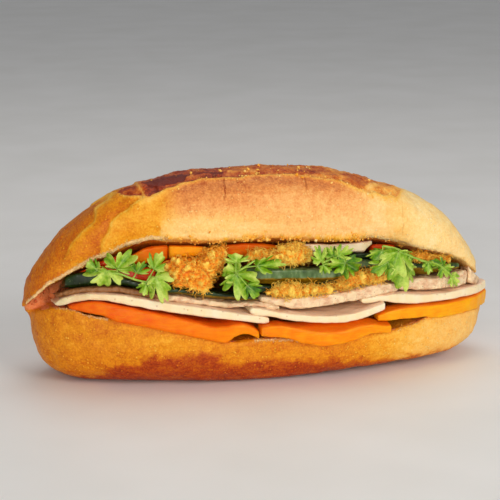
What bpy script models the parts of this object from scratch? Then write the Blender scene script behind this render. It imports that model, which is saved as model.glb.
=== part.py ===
"""Banh mi sandwich: a crisp roll, split along its front and hinged at its back, with its fillings in layers.

The roll lies along X, its open mouth faces -Y and it rests on the flat of its sole at z = 0. Lengths
in this script are millimetres, and MM turns them into Blender's metres.
"""

import math

import bmesh
import bpy
from mathutils import Vector, noise

MM = 0.001

# The roll: how far its upper and lower halves reach to each side of the middle
HALF_LENGTH = 101.0
UPPER_LEFT, UPPER_RIGHT = 102.0, 97.5
LOWER_LEFT, LOWER_RIGHT = 98.5, 99.5
PLAN_POWER, LOWER_LEFT_POWER = 2.2, 3.0
LEAST_PLAN = 0.14
LIP_DEPTH, UPPER_HALF_DEPTH, LOWER_HALF_DEPTH = 34.0, 38.0, 36.0
HINGE_DEPTH, HINGE_HEIGHT = 24.0, 30.0
SOLE_FLAT = 0.6
CRUST_ROLL = 0.35
LOWER_SQUARENESS = 0.68

# The cut faces close towards the hinge like the leaves of a fan, and so does all that lies between them
FAN_CLOSING = 0.65
MOUTH_DEPTH = LIP_DEPTH + HINGE_DEPTH

# The ear: the ridge where the crust burst along the top of the front face
EAR_ANGLE, EAR_CREST, EAR_VALLEY = 1.879, 1.0, 1.3
EAR_LEFT, EAR_RIGHT = -64.0, 66.0
CRUST_UNEVENNESS, CRUST_GRAIN = 0.7, 0.045

ROLL_STATIONS = 42
CUT_STEPS = 4

# Slices keep this far clear of the mouth's inner back, as a share of the mouth's depth
SLICE_REACH = 0.14
SLICE_STEP = 5.5
LEAF_THICKNESS = 0.6
STALK_RADIUS = 0.55

UPPER_LIP = [(-102, 30.6), (-93, 42), (-78, 52.6), (-64, 59.6), (-53, 63.2), (-31, 61.8), (0, 62),
             (22, 59.6), (42, 59.2), (65, 51.8), (85, 44.2), (93, 37.2), (98, 33.6)]
LOWER_LIP = [(-99, 29.0), (-91, 33.5), (-84, 32.8), (-77, 30.2), (-62, 28.0), (-42, 23.4), (-20, 18.2),
             (-8, 19.0), (5, 18.2), (17, 15.4), (27, 15.8), (38, 18.0), (51, 17.6), (66, 20.8), (99, 20.4)]
LOWER_BODY = [(-99, 29.0), (-90, 31.0), (-60, 28.0), (-20, 20.5), (20, 18.5), (60, 19.5), (99, 20.4)]
CROWN = [(-102, 32), (-101, 38.5), (-99, 44.5), (-96, 50.0), (-88, 61.4), (-80, 69.5), (-70, 76.9), (-60, 81.9),
         (-48, 85.1), (-36, 87.2), (-20, 87.9), (0, 88.2), (15, 87.0), (30, 84.5), (42, 80.9), (56, 76.8),
         (66, 72.4), (75, 66.6), (83, 58.6), (92, 46.6), (96, 39), (97.5, 33)]
SOLE = [(-98.5, 26), (-97.5, 16.5), (-94, 7.6), (-89, 3.2), (-82, 0.8), (-74, 0), (-20, 0), (5, 0), (17, 1.1),
        (45, 2.3), (60, 2.5), (72, 2.9), (82, 3.9), (88, 5.6), (93, 8.6), (97, 14.5), (99.5, 20)]
MOUTH_BACK = [(-1.0, 0.42), (-0.85, 0.7), (-0.6, 1.0), (0.8, 1.0), (1.0, 0.78)]
HINGE_DROP = [(-1.0, 27.5), (-0.75, 29.5), (0.0, 30.0), (0.8, 30.0), (1.0, 28.0)]


def smooth(points, x):
    """The height at x of a smooth curve through a few points, which runs level beyond its two ends."""
    if x <= points[0][0]:
        return points[0][1]
    if x >= points[-1][0]:
        return points[-1][1]
    right = next(i for i, point in enumerate(points) if point[0] > x)
    left = right - 1

    def slope(i):
        before, after = points[max(i - 1, 0)], points[min(i + 1, len(points) - 1)]
        return (after[1] - before[1]) / (after[0] - before[0])

    (x0, z0), (x1, z1) = points[left], points[right]
    width = x1 - x0
    t = (x - x0) / width
    rise = (3 - 2 * t) * t * t
    lean = (t - 2 * t * t + t**3) * slope(left) + (t**3 - t * t) * slope(right)
    return z0 + (z1 - z0) * rise + lean * width


def plan(x):
    """How far the roll's outline, seen from above, still reaches out at x, as a share of its middle."""
    return math.sqrt(max(1 - abs(x / HALF_LENGTH) ** PLAN_POWER, LEAST_PLAN**2))


def fan(height, share):
    """The height, a share of the way into the mouth, of what stands at this height between the lips."""
    return height + FAN_CLOSING * (HINGE_HEIGHT - height) * share


def lip_height(height, share):
    """The reverse of fan: where between the lips a thing stands whose height is known further in or out."""
    return (height - FAN_CLOSING * HINGE_HEIGHT * share) / (1 - FAN_CLOSING * share)


def share_of(x, y):
    return (y / plan(x) + LIP_DEPTH) / MOUTH_DEPTH


def mix(a, b, t):
    return a + (b - a) * t


def uneven(x, y, z, grain=CRUST_GRAIN):
    return noise.noise(Vector((x, y, z)) * grain)


def material(name, color, roughness):
    made = bpy.data.materials.new(name)
    made.use_nodes = True
    shader = made.node_tree.nodes["Principled BSDF"]
    shader.inputs["Base Color"].default_value = (*color, 1)
    shader.inputs["Roughness"].default_value = roughness
    shader.inputs["Metallic"].default_value = 0.0
    made.diffuse_color = (*color, 1)
    return made


CRUST = material("crust", (0.75, 0.40, 0.13), 0.5)
CARROT = material("carrot", (0.85, 0.25, 0.02), 0.35)
PORK_ROLL = material("pork_roll", (0.85, 0.62, 0.40), 0.45)
ROAST_PORK = material("roast_pork", (0.62, 0.40, 0.26), 0.55)
CUCUMBER = material("cucumber", (0.07, 0.13, 0.03), 0.3)
TOMATO = material("tomato", (0.65, 0.08, 0.02), 0.25)
CORIANDER = material("coriander", (0.20, 0.42, 0.05), 0.45)
FLOSS = material("floss", (0.80, 0.42, 0.06), 0.8)


def add_object(name, shape, look):
    """A named object from a bmesh in millimetres, its faces triangles that point outwards."""
    bmesh.ops.recalc_face_normals(shape, faces=shape.faces)
    bmesh.ops.triangulate(shape, faces=shape.faces, ngon_method="EAR_CLIP")
    bmesh.ops.scale(shape, verts=shape.verts, vec=(MM, MM, MM))
    mesh = bpy.data.meshes.new(name)
    shape.to_mesh(mesh)
    shape.free()
    mesh.materials.append(look)
    made = bpy.data.objects.new(name, mesh)
    bpy.context.scene.collection.objects.link(made)
    return made


def loft(name, sections, look):
    """One closed solid through a row of closed sections that all have the same number of points."""
    shape = bmesh.new()
    rings = [[shape.verts.new(point) for point in section] for section in sections]
    for ring, after in zip(rings, rings[1:]):
        for i in range(len(ring)):
            j = (i + 1) % len(ring)
            shape.faces.new((ring[i], ring[j], after[j], after[i]))
    shape.faces.new(rings[0][::-1])
    shape.faces.new(rings[-1])
    return add_object(name, shape, look)


# The roll, one piece of bread


def ear_relief(x, angle):
    """The burst crust stands up in a crest, with a shallow valley behind it, and dies out at both ends."""
    along = max(0.0, 1 - (2 * (x - EAR_LEFT) / (EAR_RIGHT - EAR_LEFT) - 1) ** 2)
    crest = EAR_CREST * math.exp(-(((angle - EAR_ANGLE) / 0.09) ** 2))
    valley = EAR_VALLEY * math.exp(-(((angle - EAR_ANGLE + 0.33) / 0.17) ** 2))
    return math.sqrt(along) * (crest - valley)


def upper_crust(share, x, hinge_x, hinge):
    """Points from the hinge over the crown to the upper lip, on a leaning half ellipse rolled under."""
    lip, top = smooth(UPPER_LIP, x), smooth(CROWN, x)
    first, last = -CRUST_ROLL, math.pi + CRUST_ROLL
    angles = [mix(first, last, i / 15) for i in range(16)]
    angles = sorted(angles + [EAR_ANGLE, EAR_ANGLE - 0.12, EAR_ANGLE + 0.12])

    def lean(angle):
        return mix(hinge, lip, (1 - math.cos(angle) / math.cos(CRUST_ROLL)) / 2)

    def bow(angle):
        return (math.sin(angle) + math.sin(CRUST_ROLL)) / (1 + math.sin(CRUST_ROLL))

    height = min((top - lean(a)) / bow(a) for a in angles if bow(a) > 0.4)
    points = []
    for angle in angles:
        from_hinge = min(1.0, (angle + CRUST_ROLL) / 1.6)
        y, z = 1.5 * share + UPPER_HALF_DEPTH * share * math.cos(angle), lean(angle) + height * bow(angle)
        out = ear_relief(x, angle) + CRUST_UNEVENNESS * uneven(x, y, z) * bow(angle)
        points.append((mix(hinge_x, x, from_hinge), y + out * math.cos(angle) * share,
                       z + out * math.sin(angle)))
    return points


def lower_crust(u, share, x, hinge):
    """Points from the lower lip under the loaf to the hinge, square-cornered and clipped to a flat sole."""
    lip, body, floor = smooth(LOWER_LIP, x), smooth(LOWER_BODY, x), max(0.0, smooth(SOLE, x))
    depth = mix(body, hinge, 0.5) - floor + SOLE_FLAT
    full = math.sqrt(1 - abs(u) ** LOWER_LEFT_POWER) if u < 0 else share
    points = []
    for i in range(15):
        angle = math.pi * i / 14
        across = math.copysign(abs(math.cos(angle)) ** LOWER_SQUARENESS, math.cos(angle))
        under = math.sin(angle) ** LOWER_SQUARENESS if 0 < i < 14 else 0.0
        y = -LOWER_HALF_DEPTH * mix(share, full, under) * across
        edge = mix(lip, body, min(1.0, 2.5 * under))
        z = max(mix(edge, hinge, (1 - across) / 2) - depth * under, floor)
        bump = CRUST_UNEVENNESS * uneven(x, y, z) * min(1, (z - floor) / 4)
        points.append((x, y * (1 + bump / LOWER_HALF_DEPTH), z))
    return points


def cut_face(share, x, height, back, raggedness):
    """Points of one cut face from its lip to the mouth's back."""
    points = []
    for i in range(CUT_STEPS):
        inward = mix(0.025, back, i / (CUT_STEPS - 1) * 0.92)
        crag = raggedness * abs(uneven(x, 40 * inward, height, 0.21))
        points.append((x, (MOUTH_DEPTH * inward - LIP_DEPTH) * share, fan(height, inward) + crag))
    return points


def roll_section(u):
    share = math.sqrt(1 - abs(u) ** PLAN_POWER)
    upper_x = u * (UPPER_LEFT if u < 0 else UPPER_RIGHT)
    lower_x = u * (LOWER_LEFT if u < 0 else LOWER_RIGHT)
    hinge, back = smooth(HINGE_DROP, u), smooth(MOUTH_BACK, u)
    roof, floor = smooth(UPPER_LIP, upper_x), smooth(LOWER_LIP, lower_x)
    hinge_x = mix(upper_x, lower_x, 0.6)
    over = upper_crust(share, upper_x, hinge_x, hinge)
    roof_face = cut_face(share, upper_x, roof, back, 0.9)
    floor_face = cut_face(share, lower_x, floor, back, -0.5)
    crease_height = (fan(roof, back) + fan(floor, back)) / 2
    crease = (hinge_x, (MOUTH_DEPTH * back - LIP_DEPTH) * share, crease_height)
    under = lower_crust(u, share, lower_x, hinge)
    return over + roof_face + [crease] + floor_face[::-1] + under[:-1]


def make_roll():
    spread = 0.965
    places = [math.sin(math.pi / 2 * spread * (2 * i / (ROLL_STATIONS - 1) - 1)) for i in range(ROLL_STATIONS)]
    return loft("roll", [roll_section(u) for u in places], CRUST)


# Slices, seen edge-on between the lips


def slice_stations(left, right, step):
    count = max(6, round((right - left) / step) + 1)
    return [mix(left, right, (1 - math.cos(math.pi * i / (count - 1))) / 2 * 0.5 + 0.5 * i / (count - 1))
            for i in range(count)]


def make_slice(name, look, top, bottom, front, depth, skin=None, lift=None, corner=0.25,
               step=SLICE_STEP):
    """A slice whose front edge shows between the lips, between the curves top and bottom.

    front is how far the edge stands out from the roll's middle line, and depth how far the slice
    runs in. skin is the lower edge of the rind of a slice whose flesh slants back below it. lift
    raises the far edge of a strip that hangs over the lip.
    """
    left, right = max(top[0][0], bottom[0][0]), min(top[-1][0], bottom[-1][0])
    edge_share = (LIP_DEPTH - front) / MOUTH_DEPTH
    sections = []
    for x in slice_stations(left, right, step):
        along = 2 * (x - left) / (right - left) - 1
        rounding = 1 - corner * abs(along) ** 8
        reach = smooth(MOUTH_BACK, x / HALF_LENGTH) - SLICE_REACH
        near = -front * plan(x) + (1 - rounding) * min(depth, 8) * 0.5
        deepest = (MOUTH_DEPTH * reach - LIP_DEPTH) * plan(x)
        far = min(near + depth * rounding, deepest)
        upper, lower = (lip_height(smooth(curve, x), edge_share) for curve in (top, bottom))
        raised = smooth(lift, x) if lift else 0.0

        def at(y, height):
            return (x, y, fan(height, share_of(x, y)))

        deep = [mix(near, far, t) for t in (0.06, 0.5, 1.0)]
        section = [at(near, mix(upper, lower, 0.12)), at(deep[0], upper + 0.06 * raised),
                   at(deep[1], upper + 0.5 * raised), at(deep[2], upper - 0.05 + raised),
                   at(deep[2], lower + 0.05 + raised * 0.8), at(deep[1], lower + 0.4 * raised)]
        if skin:
            rind = lip_height(smooth(skin, x), edge_share)
            section += [at(near + 4.0 * min(1, plan(x) * 2), lower), at(near, rind)]
        else:
            section += [at(deep[0], lower), at(near, mix(lower, upper, 0.12))]
        sections.append(section)
    return loft(name, sections, look)


def make_carrots():
    make_slice("carrot_left", CARROT, [(-85, 34.9), (-80, 36.8), (-75, 37.5), (-66, 36.1), (-54, 33.5),
                                       (-42, 30.6), (-31, 27.4), (-25, 26.3), (-20, 27.4), (-16, 27.1),
                                       (-12.5, 25.6), (-9.6, 23.4)],
               [(-85, 34.1), (-77, 32.7), (-70, 31.7), (-62, 30.5), (-54, 28.8), (-46, 26.4), (-38, 24.0),
                (-25, 20.4), (-22, 20.9), (-19, 22.7), (-16, 23.3), (-13, 22.5), (-9.6, 20.4)],
               38.0, 13.0, step=3.6)
    make_slice("carrot_middle", CARROT, [(-8.8, 25.4), (-4, 26.2), (1, 25.8), (7, 24.2), (14, 22.3),
                                         (20, 21.4), (27, 21.7), (33, 23.2), (38, 23.5), (43, 22.3), (48, 21.4)],
               [(-8.8, 21.8), (-1, 21.0), (5, 20.0), (10, 18.4), (16, 16.6), (22, 16.5), (28, 17.5),
                (34, 19.3), (38, 19.7), (48, 18.4)],
               39.0, 8.0, lift=[(6, 0.0), (13, 1.9), (20, 2.2), (28, 1.9), (36, 0.6), (44, 0.0)])
    make_slice("carrot_right", CARROT, [(43, 25.6), (48, 27.4), (58, 27.9), (68, 27.3), (78, 27.0),
                                        (89, 26.8), (101.3, 26.2)],
               [(43, 23.4), (50, 23.4), (58, 23.1), (68, 22.6), (78, 22.3), (86, 22.0), (96, 21.5), (101.3, 21.3)],
               36.0, 8.0)
    make_slice("carrot_under_lip", CARROT, [(-60.4, 54.6), (-55, 58.0), (-50, 59.2), (-44.8, 59.4)],
               [(-60.4, 52.4), (-55, 52.4), (-44.8, 53.2)], 27.0, 22.0)
    make_slice("carrot_block", CARROT, [(-44.2, 59.4), (-36, 59.0), (-29, 58.2), (-24, 57.0)],
               [(-44.2, 54.2), (-35, 54.4), (-24, 54.0)], 28.0, 20.0, corner=0.05)
    make_slice("carrot_long", CARROT, [(-23.3, 58.6), (-12, 58.8), (-4, 58.2), (4, 56.2), (14, 53.0)],
               [(-23.3, 54.6), (-12, 52.4), (0, 50.6), (14, 48.8)], 27.0, 26.0)
    make_slice("carrot_sliver", CARROT, [(42.6, 54.4), (47, 54.2), (53, 53.2)],
               [(42.6, 52.4), (47, 52.2), (53, 51.8)], 26.0, 14.0)


def make_pork_roll():
    make_slice("pork_roll_left", PORK_ROLL, [(-90, 35.6), (-87, 38.2), (-78, 40.9), (-67, 40.9), (-56, 39.3),
                                             (-44, 36.9), (-32, 35.0), (-20, 32.4), (-12, 30.5), (-5, 28.8)],
               [(-90, 34.8), (-87, 35.6), (-81, 37.7), (-75, 38.4), (-66, 37.0), (-54, 34.4), (-42, 32.4),
                (-30, 30.4), (-20, 28.7), (-5, 26.4)], 37.0, 44.0, corner=0.4)
    make_slice("pork_roll_middle", PORK_ROLL, [(-13, 33.3), (-1, 31.3), (12, 29.2), (25, 28.1), (34, 29.0),
                                               (45.5, 31.4)],
               [(-13, 31.6), (-5, 29.9), (1, 28.0), (14, 25.6), (27, 24.6), (36, 25.6), (45.5, 28.3)], 37.0, 42.0)
    make_slice("pork_roll_right", PORK_ROLL, [(36, 33.1), (42, 33.5), (52, 34.5), (60, 33.2), (66, 32.3),
                                              (75, 31.6), (87, 31.7), (101, 30.8)],
               [(36, 31.9), (42, 32.2), (46, 32.0), (50, 30.0), (58, 28.9), (68, 28.2), (78, 27.9), (90, 27.6),
                (101, 27.1)], 34.0, 40.0)
    make_slice("pork_roll_upper", PORK_ROLL, [(4.6, 58.2), (14, 57.6), (22, 56.9), (32, 56.8), (41.5, 56.9)],
               [(4.6, 57.2), (10, 55.6), (16, 54.0), (25, 53.2), (34, 52.6), (38.2, 52.4), (41.5, 55.6)],
               29.0, 30.0)


def make_roast_pork():
    make_slice("roast_pork_left", ROAST_PORK, [(-89, 39.2), (-84, 41.3), (-77, 42.9), (-66, 43.6), (-57, 41.6),
                                               (-49.6, 39.6)],
               [(-89, 38.4), (-84, 40.0), (-77, 41.0), (-66, 41.0), (-57, 39.6), (-49.6, 38.4)], 34.0, 38.0)
    make_slice("roast_pork_ragged", ROAST_PORK, [(-48.8, 38.9), (-45, 39.3), (-41, 39.1), (-36, 37.6), (-30, 37.2),
                                                 (-22, 35.6), (-14, 35.4), (-8.9, 34.8), (0, 32.6)],
               [(-48.8, 37.9), (-41, 36.7), (-33, 35.5), (-22, 33.4), (-13.5, 33.9), (-9, 33.2), (0, 31.7)],
               34.0, 36.0)
    make_slice("roast_pork_middle", ROAST_PORK, [(-8, 37.2), (0, 36.7), (8, 36.9), (19, 37.0), (30, 37.7),
                                                 (44, 39.7), (48, 39.4), (52, 38.0)],
               [(-8, 35.6), (-1, 33.4), (5, 31.8), (13, 31.5), (26, 32.6), (41, 33.9), (52, 35.6)],
               35.0, 40.0, corner=0.4)
    make_slice("roast_pork_right", ROAST_PORK, [(53, 37.6), (59, 39.8), (66, 38.8), (74, 38.9), (88, 39.0)],
               [(53, 35.9), (59, 34.8), (66, 33.8), (81, 32.7), (88, 32.6)], 33.0, 30.0)
    make_slice("roast_pork_end", ROAST_PORK, [(88.8, 40.6), (91, 38.2), (93.5, 35.6), (96, 33.6)],
               [(88.8, 33.6), (92, 32.3), (96, 31.9)], 33.0, 12.0)


def make_cucumbers():
    make_slice("cucumber_left", CUCUMBER, [(-86, 44.4), (-82, 46.0), (-76, 47.2), (-65, 46.2), (-57, 44.6),
                                           (-49.6, 43.2)],
               [(-86, 42.2), (-82, 42.6), (-77, 43.3), (-66, 43.9), (-57, 42.0), (-49.6, 40.2)], 31.0, 34.0)
    make_slice("cucumber_low", CUCUMBER, [(-48.8, 43.0), (-33, 41.3), (-17, 38.4), (-8.8, 36.6)],
               [(-48.8, 39.5), (-41, 39.6), (-33, 38.0), (-22, 36.3), (-8.8, 35.4)], 33.0, 34.0,
               skin=[(-48.8, 40.6), (-41, 40.5), (-33, 39.2), (-20, 37.6), (-8.8, 35.9)])
    make_slice("cucumber_middle", CUCUMBER, [(-21, 50.4), (-13, 50.0), (0, 48.8), (14, 48.1), (27, 46.2)],
               [(-21, 44.6), (-13, 43.4), (0, 41.6), (9, 41.0), (18, 41.3), (27, 42.2)], 33.0, 36.0,
               skin=[(-21, 46.0), (-13, 45.2), (9, 44.1), (27, 43.2)])
    make_slice("cucumber_behind_floss", CUCUMBER, [(-12.5, 42.2), (0, 40.6), (9, 40.0), (22, 40.0)],
               [(-12.5, 38.8), (-8, 38.2), (8, 37.6), (22, 38.1)], 30.0, 32.0)
    make_slice("cucumber_high_dark", CUCUMBER, [(30.5, 52.0), (40, 51.8), (49, 51.0)],
               [(30.5, 50.0), (49, 49.2)], 29.0, 28.0)
    make_slice("cucumber_high", CUCUMBER, [(31, 49.4), (40, 49.0), (49, 48.4)],
               [(31, 44.4), (49, 43.6)], 30.0, 30.0, skin=[(31, 46.4), (49, 45.4)])
    make_slice("cucumber_right", CUCUMBER, [(56, 46.6), (66, 45.5), (77, 43.8), (84, 42.6)],
               [(56, 41.0), (60, 40.6), (66, 39.9), (77, 39.7), (84, 39.8)], 30.0, 28.0,
               skin=[(56, 44.4), (66, 43.0), (77, 41.2), (84, 40.8)])


def make_tomatoes():
    make_slice("tomato_left", TOMATO, [(-81, 47.9), (-76, 50.0), (-66, 51.0), (-57, 50.2), (-50, 49.4)],
               [(-81, 46.7), (-76, 46.9), (-65, 46.0), (-57, 44.6), (-50, 43.0)], 27.0, 30.0)
    make_slice("tomato_far_left", TOMATO, [(-74.5, 51.6), (-70, 53.4), (-66, 54.9), (-61.4, 56.4)],
               [(-74.5, 50.9), (-70, 51.3), (-66, 51.7), (-61.4, 51.6)], 27.0, 26.0)
    make_slice("tomato_middle", TOMATO, [(-49, 52.0), (-44, 53.4), (-34, 53.6), (-24, 53.2)],
               [(-49, 49.2), (-36, 47.6), (-24, 47.4)], 27.0, 30.0)
    make_slice("tomato_right", TOMATO, [(56, 51.2), (65, 48.6), (73, 46.3), (78, 44.8)],
               [(56, 47.0), (65, 45.5), (73, 44.2), (78, 43.4)], 26.0, 24.0)


# Coriander, in sprigs of notched leaflets on fine stalks


def leaflet(x, z, wide, tall, out, heading, lean):
    """A thin wavy leaflet with pointed lobes, facing the front at a distance out from the roll's middle."""
    shape = bmesh.new()
    lobes = 7 if wide * tall > 12 else 5
    around = 2 * lobes
    rims = {}
    for side in (-1, 1):
        rims[side] = []
        for i in range(around):
            angle = heading + math.pi * i / lobes
            reach = 1.0 if i % 2 == 0 else (0.35 if i == lobes else 0.68)
            px, pz = x + wide * reach * math.cos(angle), z + tall * reach * math.sin(angle)
            wave = 0.35 * math.sin(3 * angle + x) + lean * (pz - z)
            rims[side].append(shape.verts.new((px, -out * plan(px) + wave + side * LEAF_THICKNESS / 2, pz)))
        middle = shape.verts.new((x, -out * plan(x) + side * LEAF_THICKNESS / 2, z))
        for i in range(around):
            shape.faces.new((middle, rims[side][i], rims[side][(i + 1) % around]))
    for i in range(around):
        j = (i + 1) % around
        shape.faces.new((rims[-1][i], rims[-1][j], rims[1][j], rims[1][i]))
    return add_object("leaflet", shape, CORIANDER)


def stalk(places, radius):
    """A fine five-sided stalk through points that are given as (x, z, distance out)."""
    route = [Vector((x, -out * plan(x), z)) for x, z, out in places]
    sections = []
    for i, at in enumerate(route):
        along = (route[min(i + 1, len(route) - 1)] - route[max(i - 1, 0)]).normalized()
        side = along.cross(Vector((0, 1, 0))).normalized()
        up = along.cross(side)
        sections.append([at + radius * (side * math.cos(a) + up * math.sin(a))
                         for a in (2 * math.pi * k / 5 for k in range(5))])
    return loft("stalk", sections, CORIANDER)


def drop_scraps(mesh):
    """Deletes the flat crumbs of a few triangles that a union can leave beside the piece it makes."""
    shape = bmesh.new()
    shape.from_mesh(mesh)
    unseen = set(shape.faces)
    while unseen:
        island, edge_of = set(), [unseen.pop()]
        while edge_of:
            face = edge_of.pop()
            island.add(face)
            near = {other for edge in face.edges for other in edge.link_faces} & unseen
            unseen -= near
            edge_of += near
        if len(island) < 12:
            bmesh.ops.delete(shape, geom=list(island), context="FACES")
    shape.to_mesh(mesh)
    shape.free()


def make_sprig(name, out, stem, leaflets):
    """Leaflets as (x, z, half width, half height, stem joint), each on its own stalk, fused into one piece."""
    pieces = [stalk([(x, z, out) for x, z in stem], STALK_RADIUS)]
    for i, (x, z, wide, tall, joint) in enumerate(leaflets):
        stands_out = out + (0.75, -0.65, 0.1)[i % 3]
        root = stem[joint]
        heading = math.atan2(z - root[1], x - root[0])
        inward = 0.15 * min(wide, tall) / math.hypot(x - root[0], z - root[1])
        inner = (mix(x, root[0], inward), mix(z, root[1], inward), stands_out)
        pieces.append(stalk([(*root, out), inner], 0.8 * STALK_RADIUS))
        pieces.append(leaflet(x, z, wide, tall, stands_out, heading, (0.06, -0.05, 0.1)[i % 3]))
    body, others = pieces[0], pieces[1:]
    body.name = body.data.name = name
    group = bpy.data.collections.new(name + "_pieces")
    for piece in others:
        group.objects.link(piece)
    union = body.modifiers.new("fuse", "BOOLEAN")
    union.operation, union.operand_type = "UNION", "COLLECTION"
    union.collection, union.solver = group, "EXACT"
    graph = bpy.context.evaluated_depsgraph_get()
    fused = bpy.data.meshes.new_from_object(body.evaluated_get(graph))
    body.modifiers.clear()
    body.data = fused
    drop_scraps(fused)
    for piece in others:
        bpy.data.objects.remove(piece)
    bpy.data.collections.remove(group)
    return body


def make_coriander():
    make_sprig("coriander_left", 38.6, [(-71.5, 49.5), (-66.5, 50.5), (-60.7, 47.6), (-55.3, 46.4), (-50.2, 45.5)],
               [(-76, 52.6, 2.6, 3.0, 0), (-64.5, 54.6, 6.0, 4.2, 1), (-71.9, 48.2, 6.2, 3.9, 0),
                (-57.9, 52.6, 3.2, 2.8, 2), (-50.9, 54.4, 3.2, 3.9, 3), (-49.8, 44.9, 4.6, 5.6, 4),
                (-56.0, 43.9, 2.6, 2.6, 3)])
    make_sprig("coriander_middle", 38.4, [(-19.5, 49.5), (-15.8, 51.4), (-11.6, 54.1)],
               [(-19.5, 55.3, 4.4, 1.9, 0), (-20.6, 49.8, 3.6, 4.6, 0), (-17.8, 44.6, 6.6, 5.6, 0),
                (-12.8, 42.0, 3.8, 3.2, 0), (-5.8, 51.7, 5.6, 3.1, 1)])
    make_sprig("coriander_curly", 38.2, [(16.8, 51.5), (22.4, 52.8), (26.8, 50.8)],
               [(15.2, 54.8, 3.0, 3.6, 0), (20.6, 55.2, 2.6, 2.6, 1), (26.3, 54.9, 3.6, 2.9, 1),
                (23.3, 50.8, 4.4, 3.6, 2), (29.9, 48.6, 4.4, 4.2, 2), (18.6, 48.9, 2.6, 2.4, 0)])
    make_sprig("coriander_dense", 38.4, [(43.6, 56.4), (50.6, 54.6), (56.3, 50.7), (61.2, 48.8)],
               [(49.3, 49.0, 7.6, 5.8, 1), (53.2, 42.8, 5.6, 6.0, 2), (42.0, 52.6, 4.8, 2.6, 0),
                (42.6, 47.9, 4.8, 3.4, 1)])
    make_sprig("coriander_right", 36.2, [(61.4, 48.2), (66.0, 46.6), (72.0, 44.8), (78.5, 38.6)],
               [(66.0, 44.6, 3.0, 2.6, 1), (71.0, 45.4, 3.4, 2.4, 2), (75.2, 41.4, 3.8, 2.6, 2),
                (79.6, 36.9, 2.6, 3.0, 3)])


# Pork floss, in tufts: each a low core with bumps of the size of its curls


def closed_curve(points, t):
    """A point on a smooth closed curve through the outline's points, with t from 0 to 1 once round."""
    count = len(points)
    place = t * count
    i = int(place) % count
    f = place - int(place)
    p = [points[(i + k - 1) % count] for k in range(4)]
    return [0.5 * (2 * b + (c - a) * f + (2 * a - 5 * b + 4 * c - d) * f**2 + (3 * b - 3 * c + d - a) * f**3)
            for a, b, c, d in zip(*p)]


def make_tuft(name, outline, front, back, split=None, low_back=None):
    """A tuft of floss with the given outline, from front to back distances out from the middle.

    Below the height split its back stands at low_back instead, where it hangs over the slice it lies on.
    """
    around, rings = 26, (0.42, 0.76, 1.0)
    centre = [sum(c) / len(outline) for c in zip(*outline)]
    shape = bmesh.new()

    def out_of(face, x, z, spread):
        rear = back if split is None or z > split else low_back
        if face == "back":
            return rear
        bulge = math.sqrt(max(0.0, 1 - spread**2))
        bump = 0.7 * uneven(x * 1.7, z * 1.9, front, 0.16)
        return max(rear + 0.9, mix(rear + 1.0, front, bulge) + bump)

    faces = {}
    for face in ("front", "back"):
        loops = []
        for spread in rings:
            loop = []
            for i in range(around):
                x, z = closed_curve(outline, i / around)
                frill = 1 + 0.10 * math.sin(6.3 * i + x)
                spread_now = spread * (frill if spread == rings[-1] else 1)
                px, pz = mix(centre[0], x, spread_now), mix(centre[1], z, spread_now)
                loop.append(shape.verts.new((px, -out_of(face, px, pz, spread) * plan(px), pz)))
            loops.append(loop)
        middle = shape.verts.new((centre[0], -out_of(face, *centre, 0.0) * plan(centre[0]), centre[1]))
        for i in range(around):
            j = (i + 1) % around
            shape.faces.new((middle, loops[0][i], loops[0][j]))
            for inner, outer in zip(loops, loops[1:]):
                shape.faces.new((inner[i], outer[i], outer[j], inner[j]))
        faces[face] = loops[-1]
    for i in range(around):
        j = (i + 1) % around
        shape.faces.new((faces["front"][i], faces["back"][i], faces["back"][j], faces["front"][j]))
    return add_object(name, shape, FLOSS)


def make_floss():
    make_tuft("floss_left", [(-47.5, 48.8), (-45.0, 52.6), (-39.5, 54.4), (-33.5, 53.2), (-29.4, 56.8),
                             (-25.0, 58.6), (-21.8, 58.0), (-23.4, 52.6), (-25.5, 47.8), (-29.5, 42.8),
                             (-32.5, 41.0), (-38.5, 43.0), (-43.6, 44.4), (-46.6, 45.6)],
              36.2, 28.9, split=44.8, low_back=34.0)
    make_tuft("floss_upper", [(-12.6, 52.4), (-11.2, 55.6), (-7.7, 56.4), (-2.3, 54.8), (2.6, 57.8), (8.0, 58.2),
                              (12.0, 56.4), (12.4, 51.2), (7.5, 50.2), (0.0, 51.4), (-7.7, 52.0)],
              35.6, 29.9)
    make_tuft("floss_front", [(-4.2, 39.2), (-1.2, 42.0), (3.6, 42.4), (9.5, 40.2), (18.0, 40.2), (20.4, 38.9),
                              (18.0, 38.0), (9.5, 37.9), (1.5, 37.9)],
              36.6, 33.5)
    make_tuft("floss_middle", [(22.0, 39.6), (24.6, 40.8), (28.8, 43.2), (35.2, 44.6), (44.0, 43.4), (47.4, 41.8),
                               (41.2, 41.0), (32.2, 39.9), (26.0, 38.9)],
              36.2, 31.0)
    make_tuft("floss_right", [(58.5, 48.2), (62.4, 49.0), (70.0, 47.2), (76.5, 45.4), (78.5, 44.6), (72.0, 45.4),
                              (65.0, 46.8)],
              31.4, 27.4)


def rest_on_origin():
    """Hangs every piece on one empty, which puts the middle of the sandwich's box over the origin."""
    pieces = [piece for piece in bpy.context.scene.objects if piece.type == "MESH"]
    corners = [vertex.co for piece in pieces for vertex in piece.data.vertices]
    low, high = (Vector([pick(corner[axis] for corner in corners) for axis in range(3)]) for pick in (min, max))
    sandwich = bpy.data.objects.new("sandwich", None)
    bpy.context.scene.collection.objects.link(sandwich)
    sandwich.location = (-(low.x + high.x) / 2, -(low.y + high.y) / 2, -low.z)
    for piece in pieces:
        piece.parent = sandwich
    print("moved by", [round(v / MM, 3) for v in sandwich.location], "mm")


def main():
    for leftover in list(bpy.data.objects):
        bpy.data.objects.remove(leftover)
    make_roll()
    make_carrots()
    make_pork_roll()
    make_roast_pork()
    make_cucumbers()
    make_tomatoes()
    make_coriander()
    make_floss()
    rest_on_origin()


main()
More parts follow.
